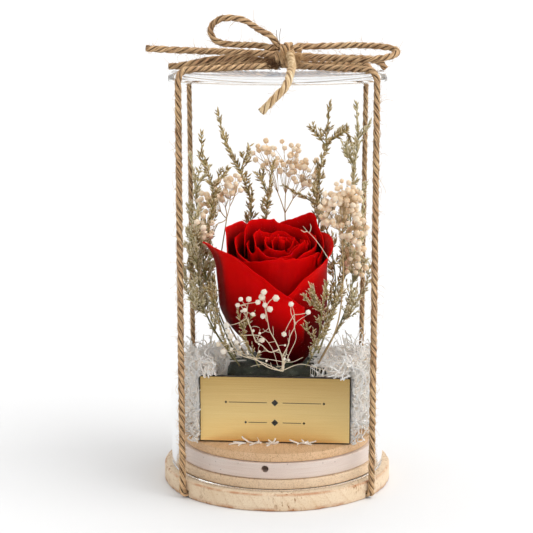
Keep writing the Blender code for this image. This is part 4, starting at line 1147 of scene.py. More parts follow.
# %% [markdown]
# The nest is packed from flat curly ribbons under a millimetre wide. Each ribbon is a spline with
# a flat section, and its points are kept inside the glass, above the wooden disc, and out of the
# foam and the plate. Most lie against the glass, where they show, and these are one piece, the
# rest another, so that neither grows too heavy. A few lie loose at the plate's foot. The nest
# sinks towards the back, where nothing holds it up.

# %% Wood wool
NEST_RADIUS = 46.2 * MM
NEST_LOW = DISC_TOP + CLEARANCE
RIBBON_COUNT = 3000
RIBBON_STEPS = 7
RIBBON_HALF_THICKNESS = 0.07 * MM
RIBBON_FLATNESS = 4.0
AGAINST_GLASS_SHARE = 0.62
FOAM_ROOM = Vector((FOAM_SIZE.x / 2 + 0.4 * MM, FOAM_SIZE.y / 2 + 0.4 * MM))
PLATE_NORMAL = Vector((math.sin(PLATE_TURN), -math.cos(PLATE_TURN)))
PLATE_GAP = 0.3 * MM
PLATE_MARGIN = 0.5 * MM


def packed(place):
    """How fully the nest is packed at a place: it sinks towards the back."""
    return 0.82 - 0.16 * max(-1.0, min(1.0, place.y / NEST_RADIUS))


def nest_top(start):
    """How high the ribbons are packed: low beside the foam, high against the glass."""
    radius = math.hypot(start.x, start.y)
    rise = min(1.0, max(0.0, (radius - 30 * MM) / (14 * MM)))
    return NEST_LOW + (31.0 + 12.0 * rise * rise) * packed(start) * MM


def in_front_of_plate(place):
    """How far a point is in front of the plate's back, in metres."""
    away = Vector((place.x - PLATE_CENTRE[0], place.y - PLATE_CENTRE[1]))
    return away.dot(PLATE_NORMAL) + PLATE_SIZE.y / 2


def keep_in_nest(place):
    """Moves a point back into the space that the wood wool fills."""
    radius = math.hypot(place.x, place.y)
    if radius > NEST_RADIUS:
        place.x *= NEST_RADIUS / radius
        place.y *= NEST_RADIUS / radius
    place.z = max(place.z, NEST_LOW + 0.4 * MM)
    if place.z < FOAM_TOP and abs(place.x) < FOAM_ROOM.x and abs(place.y) < FOAM_ROOM.y:
        place.z = FOAM_TOP + 0.5 * MM
    beside = abs(place.x - PLATE_CENTRE[0]) < PLATE_SIZE.x / 2 + PLATE_MARGIN
    if beside and place.z < NEST_LOW + PLATE_SIZE.z + PLATE_MARGIN:
        depth = in_front_of_plate(place)
        if depth > -PLATE_GAP:
            place.x -= PLATE_NORMAL.x * (depth + PLATE_GAP)
            place.y -= PLATE_NORMAL.y * (depth + PLATE_GAP)
    return place


def ribbon(rng, start, heading, length, curliness):
    """One curly ribbon as (point, half thickness), kept inside the nest."""
    bend_axis = any_way(rng).normalized()
    step = length / RIBBON_STEPS
    place = start.copy()
    points = [keep_in_nest(place.copy())]
    for _ in range(RIBBON_STEPS):
        place += heading * step
        heading = Matrix.Rotation(curliness * step * rng.uniform(0.5, 1.4), 3, bend_axis) @ heading
        points.append(keep_in_nest(place.copy()))
    return [(p, RIBBON_HALF_THICKNESS) for p in points]


def hides_foam(place):
    """True in the gap before the rose, where bare foam shows above the plate."""
    return place.y < -8 * MM and -27 * MM < place.x < 14 * MM and place.z > 52 * MM


rng = random.Random(23)
outer, inside = [], []
while len(outer) + len(inside) < RIBBON_COUNT:
    against_glass = rng.random() < AGAINST_GLASS_SHARE
    if against_glass:
        radius = NEST_RADIUS - 0.2 * MM - (rng.random() ** 2) * 5 * MM
    else:
        radius = rng.uniform(22, 45) * MM
    start = cylinder_point(radius, rng.uniform(0, 360), 0.0)
    top = nest_top(start) + rng.uniform(-1, 2.6) * MM
    start.z = rng.uniform(NEST_LOW, top) if against_glass else top - 1.5 * MM * rng.random()
    if in_front_of_plate(start) > 0 and abs(start.x) < 0.8 * PLATE_SIZE.x / 2:
        continue
    heading = Vector((rng.gauss(0, 1), rng.gauss(0, 1), rng.gauss(0, 0.7))).normalized()
    made = ribbon(rng, start, heading, rng.uniform(5, 16) * MM, rng.uniform(150, 560))
    if not any(hides_foam(p) for p, _ in made):
        (outer if against_glass else inside).append(made)
for low, high, count in ((-17, -1, 16), (8, 16, 9)):
    for _ in range(count):
        x = rng.uniform(low, high) * MM
        start = Vector((x, PLATE_CENTRE[1] - 1.6 * MM - rng.random() * 1.5 * MM, NEST_LOW + 0.3 * MM))
        points = curl(rng, start, Vector((rng.gauss(0, 1), -0.3, 0.15)), rng.uniform(3, 7) * MM, 1.2)
        settled = [Vector((p.x, p.y, max(p.z, NEST_LOW + 0.2 * MM))) for p in points]
        inside.append([(p, RIBBON_HALF_THICKNESS) for p in settled])
for name, group in (("wood_wool_against_glass", outer), ("wood_wool_inside", inside)):
    wool = put(name, strand_mesh(name, group, RIBBON_FLATNESS), wool_finish)
    settle(wool, "white_wood_wool")
    print(name + ":", len(group), "ribbons,", len(wool.data.polygons), "faces")

# %% [markdown]
# The solid ring of the frame stays under the ribbons as a soft core that stops the eye from
# looking through them. A copy of it is drawn in a little on all sides and sinks towards the back
# like the ribbons, so that they lie over it.

# %% The nest's core
CORE_INSET = 1.0 * MM
CORE_WALL_GAP = 2.6 * MM
CORE_WALL = 40 * MM

core_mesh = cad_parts["wood_wool_nest"].data.copy()
core_mesh.materials.clear()
bm = bmesh.new()
bm.from_mesh(core_mesh)
bmesh.ops.remove_doubles(bm, verts=bm.verts, dist=1e-6)
bmesh.ops.recalc_face_normals(bm, faces=bm.faces)
aside = PLATE_SIZE.x / 2 + 1.0 * MM
for vertex in bm.verts:
    vertex.co -= vertex.normal * CORE_INSET
    radius = math.hypot(vertex.co.x, vertex.co.y)
    if radius > CORE_WALL:
        vertex.co.x *= 1 - CORE_WALL_GAP / radius
        vertex.co.y *= 1 - CORE_WALL_GAP / radius
    if in_front_of_plate(vertex.co) > -MM and abs(vertex.co.x - PLATE_CENTRE[0]) < aside:
        vertex.co.x = PLATE_CENTRE[0] + math.copysign(aside, vertex.co.x - PLATE_CENTRE[0])
    vertex.co.z = NEST_LOW + (vertex.co.z - NEST_LOW) * packed(vertex.co)
core = put("wood_wool_core", to_mesh("wood_wool_core", bm), wool_finish)
settle(core, "white_wood_wool", "wood_wool_nest")
print("wood wool core:", len(core.data.polygons), "faces")

# %% [markdown]
# A preserved rose keeps the full colour of a fresh one, but its petals are matt and slightly
# rubbery: a velvet skin with fine veins that run up from the foot. Its red also carries painted
# shade and light: deepest low down and inside, where shade falls, and brightest where the lip
# turns out into the light. Each point of a petal stores how near the open lip it lies, and the
# finish reads that as its painted shade.

# %% Petal finish
VEINS_ACROSS = 34.0
MOTTLE = 5.88 * MM

petal_red, tree, shader = new_material("preserved_rose_petal")
uv = add(tree, "ShaderNodeUVMap", uv_map="petal").outputs["UV"]
shade = add(tree, "ShaderNodeAttribute", attribute_name="shade").outputs["Fac"]
place = add(tree, "ShaderNodeTexCoord").outputs["Object"]
narrow = add(tree, "ShaderNodeMapping", {"Vector": uv, "Scale": (VEINS_ACROSS, 2.2, 1.0)}).outputs[0]
veins = add(
    tree, "ShaderNodeTexNoise", {"Vector": narrow, "Scale": 1.6, "Detail": 3.0, "Distortion": 0.4}
).outputs["Fac"]
mottle = add(
    tree, "ShaderNodeTexNoise", {"Vector": place, "Scale": 1 / MOTTLE, "Detail": 3.0}
).outputs["Fac"]
# The reds run from painted shade at 0 to a painted highlight on the lit lip at 1.
reds = ((0.0, "#2A0001"), (0.35, "#7C0002"), (0.70, "#C00203"), (1.0, "#E60404"))
colour = set_stops(add(tree, "ShaderNodeValToRGB", {"Fac": shade}), *reds)
for strength, pattern in ((0.35, veins), (0.25, mottle)):
    colour = add(
        tree, "ShaderNodeMix", {0: strength, 6: colour, 7: pattern},
        data_type="RGBA", blend_type="SOFT_LIGHT",
    ).outputs[2]
bump = add(tree, "ShaderNodeBump", {"Height": veins, "Strength": 0.35, "Distance": 0.3 * MM}).outputs[0]
wire(tree, shader, {"Base Color": colour, "Normal": bump, "Roughness": 0.55, "Specular IOR Level": 0.03})
wire(tree, shader, {"Sheen Weight": 0.02, "Sheen Roughness": 0.4, "Sheen Tint": srgb("#FF2010")})
print("petal finish:", len(reds), "reds from the foot to the lip")

# %% [markdown]
# The bloom is built the way it grows: sixteen petals, each starting a little higher and closer to
# the axis than the one before. A petal is a grid whose columns run round the bloom and whose rows
# run up from the foot, bent on to a cup that swells quickly and then stands upright. The rim of
# each petal is a smooth line through a few measured points, because the overlapping rims are what
# makes one rose different from the next. Lips roll out, and slow noise makes the cup uneven. All
# petals share one noise, so that neighbours stay clear of each other.

# %% Rose petals
ROSE_FOOT_HEIGHT = 55.5 * MM
ROSE_BELLY_HEIGHT = 86.0 * MM
ROSE_RADIUS = 25.2 * MM
ROSE_FOOT_RADIUS = 8.4 * MM
LAYER_STEP = 1.40 * MM
FOOT_LAYER_STEP = 0.36 * MM
FOOT_RISE_PER_LAYER = 1.0 * MM
ROSE_FOOT_AXIS = (4.0 * MM, -2.0 * MM)
ROSE_HEAD_AXIS = (-1.2 * MM, -2.0 * MM)
HEART_DRIFT = 0.22 * MM
PETAL_THICKNESS = 0.42 * MM
OUTERMOST = 0
FIRST_POINTED = 4
LIP_START, LIP_SHARE = 0.78, 0.22
MARGIN_START, MARGIN_SHARE = 0.88, 0.12
WAVE_HEIGHT, RIPPLE_HEIGHT = 13 * MM, 5 * MM
# For each petal: how far its lip rolls out and its middle flares (mm), and its rim as pairs of
# degrees from the front (+ is right) and height (mm).
PETALS = [
    (3.6, 5.0, [(-178, 84), (-150, 94), (-115, 105.5), (-96, 111.8), (-84, 113.6), (-68, 114.2), (-50, 113.0),
                (-30, 108.3), (-9.4, 100.6), (4, 95.2), (21, 90.0), (32, 87)]),
    (2.8, 0.4, [(-18, 79), (0, 87.5), (15, 93.2), (30, 99.8), (54, 105.6), (76, 109.8), (95, 113.8),
                (112, 115.6), (130, 114.4), (155, 103), (178, 86)]),
    (1.6, 0.4, [(-214, 104), (-180, 112), (-152, 116.5), (-138, 120.4), (-122, 119.6), (-104, 119.4),
                (-92, 118.6), (-80, 111)]),
    (1.2, 0.2, [(64, 107), (88, 112), (108, 116), (119, 119.5), (124, 123.6), (132, 125), (146, 123.2),
                (162, 120.8), (176, 119), (200, 112)]),
    (1.0, 0.0, [(-80, 104), (-58, 105.7), (-29, 106.9), (-7, 108.0), (12, 107.6), (20, 108.9), (29, 108.2),
                (50, 109.2), (75, 109.4), (92, 107)]),
    (1.5, 0.0, [(-176, 116), (-146, 116.9), (-118, 115.9), (-89, 113.2), (-71, 109.9), (-50, 107.4),
                (-34, 105.8), (-16, 104)]),
    (1.0, 0.4, [(30, 107.5), (45, 110), (62, 111), (85, 112.6), (107, 115), (128, 116.6), (150, 116),
                (174, 115)]),
    (1.0, 1.6, [(106, 112), (130, 116.5), (159, 118.4), (177, 119.6), (197, 121.6), (216, 122.1),
                (240, 121), (257, 118), (266, 112)]),
    (1.1, 0.0, [(-108, 113), (-84, 112), (-66, 110.8), (-52, 109.2), (-38, 111.2), (-20, 108.8),
                (0, 108.2), (20, 107.4), (32, 106)]),
    (1.0, 0.0, [(-10, 107.5), (5, 108.4), (21, 109.2), (36, 112), (55, 114), (75, 112.6), (100, 113.6),
                (130, 113)]),
    (0.8, 0.2, [(-198, 114.6), (-170, 115.4), (-140, 116.6), (-111, 117.2), (-89, 114.9), (-73, 112.6),
                (-58, 110.6)]),
    (0.9, 0.3, [(66, 109), (100, 110.4), (130, 111.8), (150, 114.4), (172, 116.8), (198, 116.2),
                (216, 113.8)]),
    (0.6, 0.0, [(-68, 109.5), (-40, 111.2), (-14, 110.8), (8, 110.2), (24, 109), (40, 111.4), (60, 112.4),
                (92, 112)]),
    (0.5, 0.0, [(-184, 114), (-150, 114.8), (-104, 114.4), (-70, 112.6), (-44, 111.4), (-24, 110.4)]),
    (0.4, 0.0, [(30, 110.6), (60, 112.6), (84, 114.4), (110, 113.6), (150, 114.6), (190, 113.4)]),
    (0.3, 0.0, [(-246, 112.6), (-200, 114.4), (-160, 115.2), (-120, 114.2), (-96, 113), (-74, 111.6)]),
]


def rose_axis(height, layer):
    """Centre of a layer of petals: the head leans to the left of its foot."""
    rise = (height - ROSE_FOOT_HEIGHT) / (ROSE_BELLY_HEIGHT - ROSE_FOOT_HEIGHT)
    rise = min(1.0, max(0.0, rise))
    ease = rise * rise * (3 - 2 * rise)
    x = ROSE_FOOT_AXIS[0] + (ROSE_HEAD_AXIS[0] - ROSE_FOOT_AXIS[0]) * ease
    return x + HEART_DRIFT * layer * ease, ROSE_FOOT_AXIS[1]


def layer_radius(height, layer):
    """Cup profile of a layer: a quarter round from the foot to the belly, then upright."""
    foot = ROSE_FOOT_HEIGHT + FOOT_RISE_PER_LAYER * layer
    rise = min(1.0, max(0.0, (height - foot) / (ROSE_BELLY_HEIGHT - foot)))
    foot_radius = ROSE_FOOT_RADIUS - FOOT_LAYER_STEP * layer
    full_radius = ROSE_RADIUS - LAYER_STEP * layer
    return foot_radius + (full_radius - foot_radius) * math.sin(math.pi / 2 * rise)


def rim_height(rim, azimuth):
    """Height of a rim at an azimuth, on a smooth line through its points."""
    spots = [spot for spot, _ in rim]
    k = max(0, min(len(rim) - 2, sum(spot <= azimuth for spot in spots) - 1))
    (a1, h1), (a2, h2) = rim[k], rim[k + 1]
    h0, h3 = rim[max(k - 1, 0)][1], rim[min(k + 2, len(rim) - 1)][1]
    t = (azimuth - a1) / (a2 - a1)
    return h1 + 0.5 * t * (h2 - h0 + t * (2 * h0 - 5 * h1 + 4 * h2 - h3 + t * (3 * h1 - h0 - 3 * h2 + h3)))


def petal_azimuth(petal, across, up):
    """Degrees from the front of a point on a petal, which is narrower at its foot."""
    rim = petal[2]
    azimuth, half_width = (rim[0][0] + rim[-1][0]) / 2, (rim[-1][0] - rim[0][0]) / 2
    return azimuth + half_width * across * (0.55 + 0.45 * min(1.0, up * 2.2))


def hump(degrees, centre, width):
    """A soft hump round one azimuth: 1 at its centre, 0 well away from it."""
    return math.exp(-(((degrees - centre) / width) ** 2))


def petal_point(layer, petal, across, up):
    """A point on a petal: across runs from -1 to 1, and up from 0 at the foot to 1 at the lip.

    A rolled lip drops and comes nearer the camera, so the rim starts that much above its height.
    """
    roll, flare, rim = petal
    azimuth, half_width = (rim[0][0] + rim[-1][0]) / 2, (rim[-1][0] - rim[0][0]) / 2
    foot = ROSE_FOOT_HEIGHT + FOOT_RISE_PER_LAYER * layer
    degrees = petal_azimuth(petal, across, up)
    angle = math.radians(degrees)
    middle = (1.0 - abs(across)) ** 1.5
    edge = (1.0 - across * across) ** 0.6
    coarse = noise.noise((across * 9, layer * 1.7, 0.3))
    fine = noise.noise((across * 21, layer * 3.1, 5.0))
    ragged = 0.35 * coarse + 0.25 * fine
    seen_lower = 0.55 * roll * edge + CAMERA_DOWN * (roll * edge + flare * middle) * math.cos(angle)
    point = 1.3 * math.exp(-abs(across) / 0.06) if layer >= FIRST_POINTED else 0.0
    top = (rim_height(rim, azimuth + half_width * across) + ragged + seen_lower + point) * MM
    height = foot + (top - foot) * up
    lip = max(0.0, (up - LIP_START) / LIP_SHARE)
    margin = max(0.0, (abs(across) - MARGIN_START) / MARGIN_SHARE) * up
    radius = layer_radius(height, layer) + flare * MM * middle * up**2
    radius += MM * (roll * lip**2.2 * edge + 0.30 * margin**2)
    height -= MM * 0.55 * roll * lip**5 * edge
    if layer == OUTERMOST:
        radius += MM * (2.0 * hump(degrees, -51, 8) - 0.9 * hump(degrees, -84, 17)) * up
        radius += MM * 1.5 * hump(degrees, -84, 14) * lip**0.9
    direction = Vector((math.sin(angle), -math.cos(angle), 0.0))
    wave = noise.noise(Vector((2.3 * direction.x, 2.3 * direction.y, height / WAVE_HEIGHT)))
    ripple = noise.noise((angle * 6.0, height / RIPPLE_HEIGHT, layer * 2.0))
    crumple = 0.16 + 0.03 * max(0, layer - 3)
    radius += MM * (0.5 * wave * min(1.0, 2 * up) + crumple * ripple * up)
    x, y = rose_axis(height, layer)
    return Vector((x, y, height)) + direction * radius


# Painted shade by how far below the lip a point is, as a share of the petal's height.
OPEN_SHADES = {
    0: ((0.0, 0.97), (0.06, 0.90), (0.25, 0.76), (0.42, 0.48), (0.58, 0.18), (1.0, 0.05)),
    1: ((0.0, 1.00), (0.10, 0.94), (0.17, 0.62), (0.35, 0.40), (0.60, 0.12), (1.0, 0.05)),
    4: ((0.0, 0.95), (0.04, 0.76), (0.25, 0.58), (0.50, 0.25), (1.0, 0.05)),
}
HIDDEN_SHADE = ((0.0, 1.0), (0.03, 0.80), (0.08, 0.54), (0.16, 0.20), (1.0, 0.15))
FOLD_ANGLE = -49.0


def petal_shade(layer, up, degrees=0.0):
    """Painted shade: 1 at a lit lip, lower deep between neighbours and beside the outer petal's fold."""
    depths, shades = zip(*OPEN_SHADES.get(layer, HIDDEN_SHADE))
    shade = float(np.interp(1 - up, depths, shades))
    if layer == OUTERMOST:
        fold_shade = min(1.0, max(0.0, (FOLD_ANGLE - degrees) / 7)) * min(1.0, (1 - up) / 0.12)
        shade *= 1 - 0.62 * fold_shade
    return shade


petal_faces = 0
for layer, petal_form in enumerate(PETALS):
    bm = bmesh.new()
    bm.loops.layers.uv.new("petal")
    shade = bm.verts.layers.float.new("shade")
    columns = 56 if layer < 8 else 36
    bmesh.ops.create_grid(bm, x_segments=columns, y_segments=34, size=1.0, calc_uvs=True)
    for vertex in bm.verts:
        up = 1 - ((1 - vertex.co.y) / 2) ** 1.5
        # Each point keeps its painted shade for the finish.
        vertex[shade] = petal_shade(layer, up, petal_azimuth(petal_form, vertex.co.x, up))
        vertex.co = petal_point(layer, petal_form, vertex.co.x, up)
    name = f"rose_petal_{layer + 1:02d}"
    petal = put(name + "_velvet", to_mesh(name, bm), petal_red)
    thicken(petal, PETAL_THICKNESS)
    settle(petal, "red_petal", name)
    petal_faces += len(petal.data.polygons)
print("petals:", len(PETALS), "with", petal_faces, "faces")

# %% [markdown]
# The heart is the last petals still rolled up. A grid that winds inwards one and a half times,
# with a lip that rises towards the middle, gives the spiral that the eye looks for in a rose.

# %% Rose heart
HEART_TOP = 114.6 * MM
HEART_RADIUS = 2.1 * MM
HEART_FOOT = ROSE_FOOT_HEIGHT + FOOT_RISE_PER_LAYER * len(PETALS) + 6 * MM
HEART_START, HEART_WINDING = 60, 620


def heart_point(across, up):
    """A point on the rolled heart: across winds inwards, and up runs from foot to lip."""
    height = HEART_FOOT + (HEART_TOP - HEART_FOOT + 0.8 * MM * math.sin(across * 7)) * up
    angle = math.radians(HEART_START + HEART_WINDING * across)
    radius = HEART_RADIUS * (1.0 - 0.62 * across) * (0.5 + 0.5 * min(1.0, 3 * up))
    x, y = rose_axis(height, len(PETALS))
    return Vector((x + radius * math.sin(angle), y - radius * math.cos(angle), height))


bm = bmesh.new()
bm.loops.layers.uv.new("petal")
shade = bm.verts.layers.float.new("shade")
bmesh.ops.create_grid(bm, x_segments=60, y_segments=24, size=1.0, calc_uvs=True)
for vertex in bm.verts:
    # The heart gets the painted shade of a hidden petal.
    vertex[shade] = petal_shade(len(PETALS), (vertex.co.y + 1) / 2)
    vertex.co = heart_point((vertex.co.x + 1) / 2, (vertex.co.y + 1) / 2)
heart = put("rose_heart_roll", to_mesh("heart", bm), petal_red)
thicken(heart, 0.25 * MM)
settle(heart, "red_petal", "rose_heart")
print("heart:", len(heart.data.polygons), "faces")

# %% [markdown]
# The stem is mostly hidden, so the frame's own solid stays in view and only gets its finish: a
# dull green bark with darker flecks of about two millimetres.

# %% Stem
STEM_FLECK = 2.0 * MM

stem_green, tree, shader = new_material("preserved_rose_stem")
place = add(tree, "ShaderNodeTexCoord").outputs["Object"]
fleck = add(tree, "ShaderNodeTexNoise", {"Vector": place, "Scale": 1 / STEM_FLECK}).outputs["Fac"]
colour = set_stops(add(tree, "ShaderNodeValToRGB", {"Fac": fleck}), (0.35, "#2E3A1A"), (0.7, "#5A6434"))
wire(tree, shader, {"Base Color": colour, "Roughness": 0.6})
stem_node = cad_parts["rose_stem"]
stem_node.data.materials.clear()
stem_node.data.materials.append(stem_green)
print("stem:", len(stem_node.data.polygons), "faces")

# %% [markdown]
# Dried filler flowers are thousands of tiny forms on thin twigs. One floret is modelled once, with
# a few dozen faces, and Geometry Nodes copies it to every place in a cloud of points, turned and
# sized by attributes of the points. The copies are made real at the end, because only real faces
# leave Blender with the model.

# %% Copies of one small form


def copies_group(template):
    """Geometry nodes that put the template on each point and make the copies real."""
    tree = bpy.data.node_groups.new("copies_of_" + template.name, "GeometryNodeTree")
    tree.interface.new_socket("Geometry", in_out="INPUT", socket_type="NodeSocketGeometry")
    tree.interface.new_socket("Geometry", in_out="OUTPUT", socket_type="NodeSocketGeometry")
    cloud = add(tree, "NodeGroupInput").outputs["Geometry"]
    form = add(tree, "GeometryNodeObjectInfo", {"Object": template}).outputs["Geometry"]
    turn, size = (
        add(
            tree, "GeometryNodeInputNamedAttribute", {"Name": name}, data_type="FLOAT_VECTOR"
        ).outputs["Attribute"]
        for name in ("turn", "size")
    )
    places = {"Points": cloud, "Instance": form, "Rotation": turn, "Scale": size}
    copies = add(tree, "GeometryNodeInstanceOnPoints", places).outputs["Instances"]
    real = add(tree, "GeometryNodeRealizeInstances", {"Geometry": copies}).outputs["Geometry"]
    add(tree, "NodeGroupOutput", {"Geometry": real})
    return tree


def copy_to(name, template, places, material):
    """Copies of a form at (place, direction of its Z, size, tint), as one mesh object."""
    cloud = bpy.data.meshes.new(name)
    cloud.vertices.add(len(places))
    cloud.vertices.foreach_set("co", [c for place, *_ in places for c in place])
    turns = [Vector((0, 0, 1)).rotation_difference(way).to_euler() for _, way, *_ in places]
    for label, kind, values in (
        ("turn", "FLOAT_VECTOR", [c for turn in turns for c in turn]),
        ("size", "FLOAT_VECTOR", [c for _, _, size, _ in places for c in size]),
        ("tint", "FLOAT", [tint for *_, tint in places]),
    ):
        layer = cloud.attributes.new(label, kind, "POINT")
        layer.data.foreach_set("vector" if kind == "FLOAT_VECTOR" else "value", values)
    obj = put(name, cloud)
    nodes = obj.modifiers.new("copies", "NODES")
    nodes.node_group = copies_group(template)
    apply_modifiers(obj)
    for leftover in ("turn", "size"):
        layer = obj.data.attributes.get(leftover)
        if layer:
            obj.data.attributes.remove(layer)
    obj.data.materials.clear()
    obj.data.materials.append(material)
    return obj


# %% [markdown]
# Dried plants are matt, with paler tips. Each copy of a floret carries a tint of its own, and each
# point of it knows how near the tip it lies, so one finish makes thousands of different florets. A
# caspia floret is a slim drop. A gypsophila flower is a ball of crumpled petals, which a coarse
# sphere with every other point drawn in gives with few faces.

# %% Florets and their finishes


def dry_finish(name, low, high, tip, roughness=0.85):
    """Dried plant matter: matt, paler at the tips, each copy a little lighter or darker."""
    material, tree, shader = new_material(name)
    tint, along = (
        add(tree, "ShaderNodeAttribute", attribute_name=label).outputs["Fac"] for label in ("tint", "along")
    )
    body = add(tree, "ShaderNodeMix", {0: tint, 6: srgb(low), 7: srgb(high)}, data_type="RGBA").outputs[2]
    colour = add(tree, "ShaderNodeMix", {0: along, 6: body, 7: srgb(tip)}, data_type="RGBA").outputs[2]
    wire(tree, shader, {"Base Color": colour, "Roughness": roughness, "Specular IOR Level": 0.25})
    return material


def mark_along(mesh, share_of):
    """Stores on each point how far along its form it is, for the finish to read."""
    layer = mesh.attributes.new("along", "FLOAT", "POINT")
    layer.data.foreach_set("value", [share_of(v.co) for v in mesh.vertices])


PALE_FROM = 0.55
HOLLOW = 0.86
POLE_EDGES = 5

bm = bmesh.new()
bmesh.ops.create_uvsphere(bm, u_segments=5, v_segments=4, radius=1.0)
for vertex in bm.verts:
    lift = (vertex.co.z + 1) / 2
    vertex.co.x *= 1.0 - 0.5 * lift**2
    vertex.co.y *= 1.0 - 0.5 * lift**2
    vertex.co.z = lift
floret = put("floret_form", to_mesh("floret", bm))
mark_along(floret.data, lambda co: max(0.0, co.z - PALE_FROM) / (1 - PALE_FROM))

bm = bmesh.new()
bmesh.ops.create_icosphere(bm, subdivisions=2, radius=1.0)
for vertex in bm.verts:
    vertex.co *= 1.0 if len(vertex.link_edges) == POLE_EDGES else HOLLOW
ball = put("ball_form", to_mesh("ball", bm))
mark_along(ball.data, lambda co: 0.6 * max(0.0, co.length - HOLLOW) / (1 - HOLLOW))

caspia_finish = dry_finish("dried_caspia_floret", "#7C6230", "#CDB47C", "#F8EDD2")
pale_caspia = dry_finish("bleached_caspia_floret", "#94824E", "#DCCDA0", "#FCF5E2")
caspia_stem = dry_finish("dried_caspia_stem", "#8A8458", "#8A8458", "#8A8458")
ball_beige = dry_finish("dried_gypsophila_beige", "#F0CDA2", "#FFEBD0", "#FFF8EA", 0.8)
ball_cream = dry_finish("dried_gypsophila_cream", "#EEDCC0", "#FCF4E6", "#FFFDF8", 0.8)
spray_stem = dry_finish("dried_gypsophila_stem", "#C9AC80", "#C9AC80", "#C9AC80")
cream_stem = dry_finish("bleached_gypsophila_stem", "#EADBC0", "#EADBC0", "#EADBC0")
print("floret:", len(floret.data.polygons), "faces, ball:", len(ball.data.polygons), "faces")

# %% [markdown]
# A caspia sprig is an arching twig with a few arms. The route of each twig is the one of its solid
# in the frame, so the fine sprig lies where the plain one is.

# %% Caspia routes
# For each sprig: its twig, and its arms as (the twig's point where it leaves, its points), in mm.
CASPIA = [
    (
        [(-13.0, 13.0, 56), (-19.0, 24.0, 76), (-17.5, 27.0, 96), (-12.5, 23.0, 124),
         (-17.6, 16.0, 144), (-24.6, 14.0, 159), (-27.8, 14.0, 171.5)],
        [(4, [(-13.7, 11.0, 154.6)])],
    ),
    (
        [(-19.0, 3.0, 56), (-31.0, 8.0, 84), (-35.0, 7.5, 104), (-31.0, 5.0, 124),
         (-30.4, 3.0, 139), (-34.4, 2.0, 151), (-35.2, 2.0, 163.4)],
        [(4, [(-25.0, 0.0, 144.0)]), (1, [(-40.0, 5.0, 98.0), (-42.0, 5.0, 108.0)]),
         (2, [(-38.5, 0.0, 117.0)]), (2, [(-33.0, 13.0, 121.0)])],
    ),
    (
        [(-19.0, 11.0, 56), (-33.0, 20.0, 88), (-37.5, 19.0, 113), (-39.0, 16.0, 135),
         (-41.2, 13.0, 151.8)],
        [(3, [(-33.0, 21.0, 145.0)]), (1, [(-39.0, 15.0, 101.0), (-42.0, 12.0, 112.0)]),
         (1, [(-33.0, 26.0, 108.0)]), (2, [(-43.0, 12.0, 128.0)])],
    ),
    (
        [(-3.0, 14.0, 56), (-5.0, 25.0, 74), (-6.0, 28.0, 95), (-5.4, 24.0, 122),
         (-4.5, 22.0, 132), (-2.1, 20.0, 147)],
        [(4, [(-8.5, 20.0, 142.0)])],
    ),
    (
        [(11.0, 13.0, 56), (16.5, 24.5, 80), (19.5, 24.0, 108), (20.2, 21.5, 142),
         (22.9, 20.0, 156), (24.7, 20.0, 175.3)],
        [(4, [(15.8, 18.0, 164.2)]), (4, [(32.0, 24.0, 161.7), (35.4, 22.0, 155.5)])],
    ),
    (
        [(19.0, 8.0, 56), (31.0, 15.0, 90), (35.3, 14.0, 126), (36.5, 14.0, 145),
         (37.7, 13.0, 159), (37.0, 12.0, 175.9)],
        [(4, [(42.5, 9.0, 166.4)]), (3, [(33.0, 18.0, 156.0)]), (1, [(39.0, 11.0, 112.0)]),
         (1, [(32.0, 20.0, 108.0), (31.0, 21.0, 120.0)]), (2, [(42.0, 10.0, 139.0)])],
    ),
    (
        [(16.0, 3.0, 56), (27.0, 10.0, 82), (26.0, 13.0, 106), (19.0, 12.0, 126.7),
         (10.6, 11.0, 133.5), (3.1, 10.0, 137.7)],
        [(3, [(18.5, 8.0, 135.0)])],
    ),
    (
        [(-17.0, -12.5, 56), (-24.0, -23.0, 72), (-27.5, -25.5, 88), (-28.0, -24.5, 101.3)],
        [(2, [(-31.0, -23.0, 95.0)])],
    ),
    (
        [(-8.0, -14.0, 56), (-12.5, -26.5, 68), (-15.5, -30.5, 78), (-17.5, -31.0, 87)],
        [(2, [(-11.5, -32.0, 84.0)])],
    ),
    (
        [(13.0, -13.5, 56), (18.0, -26.0, 70), (20.0, -29.0, 85.7), (22.0, -28.0, 99.1)],
        [(2, [(12.0, -31.0, 93.0)]), (1, [(25.0, -26.0, 85.0)]), (1, [(29.0, -24.0, 96.0)]),
         (2, [(15.0, -32.0, 98.0)]), (1, [(12.0, -32.5, 80.0)])],
    ),
    (
        [(19.5, -3.0, 56), (30.0, -8.5, 78), (35.0, -6.0, 95.2), (39.3, -2.0, 116.2),
         (40.0, 1.0, 132.3)],
        [(2, [(40.5, -10.0, 106.0)]), (3, [(34.5, -5.0, 127.0)]), (1, [(35.0, -16.0, 94.0)]),
         (1, [(33.0, -17.0, 82.0), (36.0, -20.0, 96.0)]), (2, [(33.0, -13.0, 112.0)]),
         (1, [(40.0, -3.0, 90.0), (43.0, -2.0, 102.0)])],
    ),
    (
        [(-19.5, -4.5, 56), (-33.0, -3.0, 79), (-37.5, 0.0, 102.8), (-37.0, 3.0, 129)],
        [(1, [(-40.0, -8.0, 96.0)]), (2, [(-42.0, 5.0, 118.0)]), (1, [(-37.0, -13.0, 92.0)]),
         (1, [(-36.0, -17.0, 86.0), (-37.0, -20.0, 98.0)]), (2, [(-43.0, -6.0, 113.0)]),
         (1, [(-42.0, 2.0, 88.0), (-44.0, 2.0, 100.0)]), (2, [(-35.0, 9.0, 116.0)])],
    ),
]
INSIDE_GLASS = 45.6 * MM
ROSE_CLEAR = 27.6 * MM
ROSE_CLEAR_TOP = 121 * MM


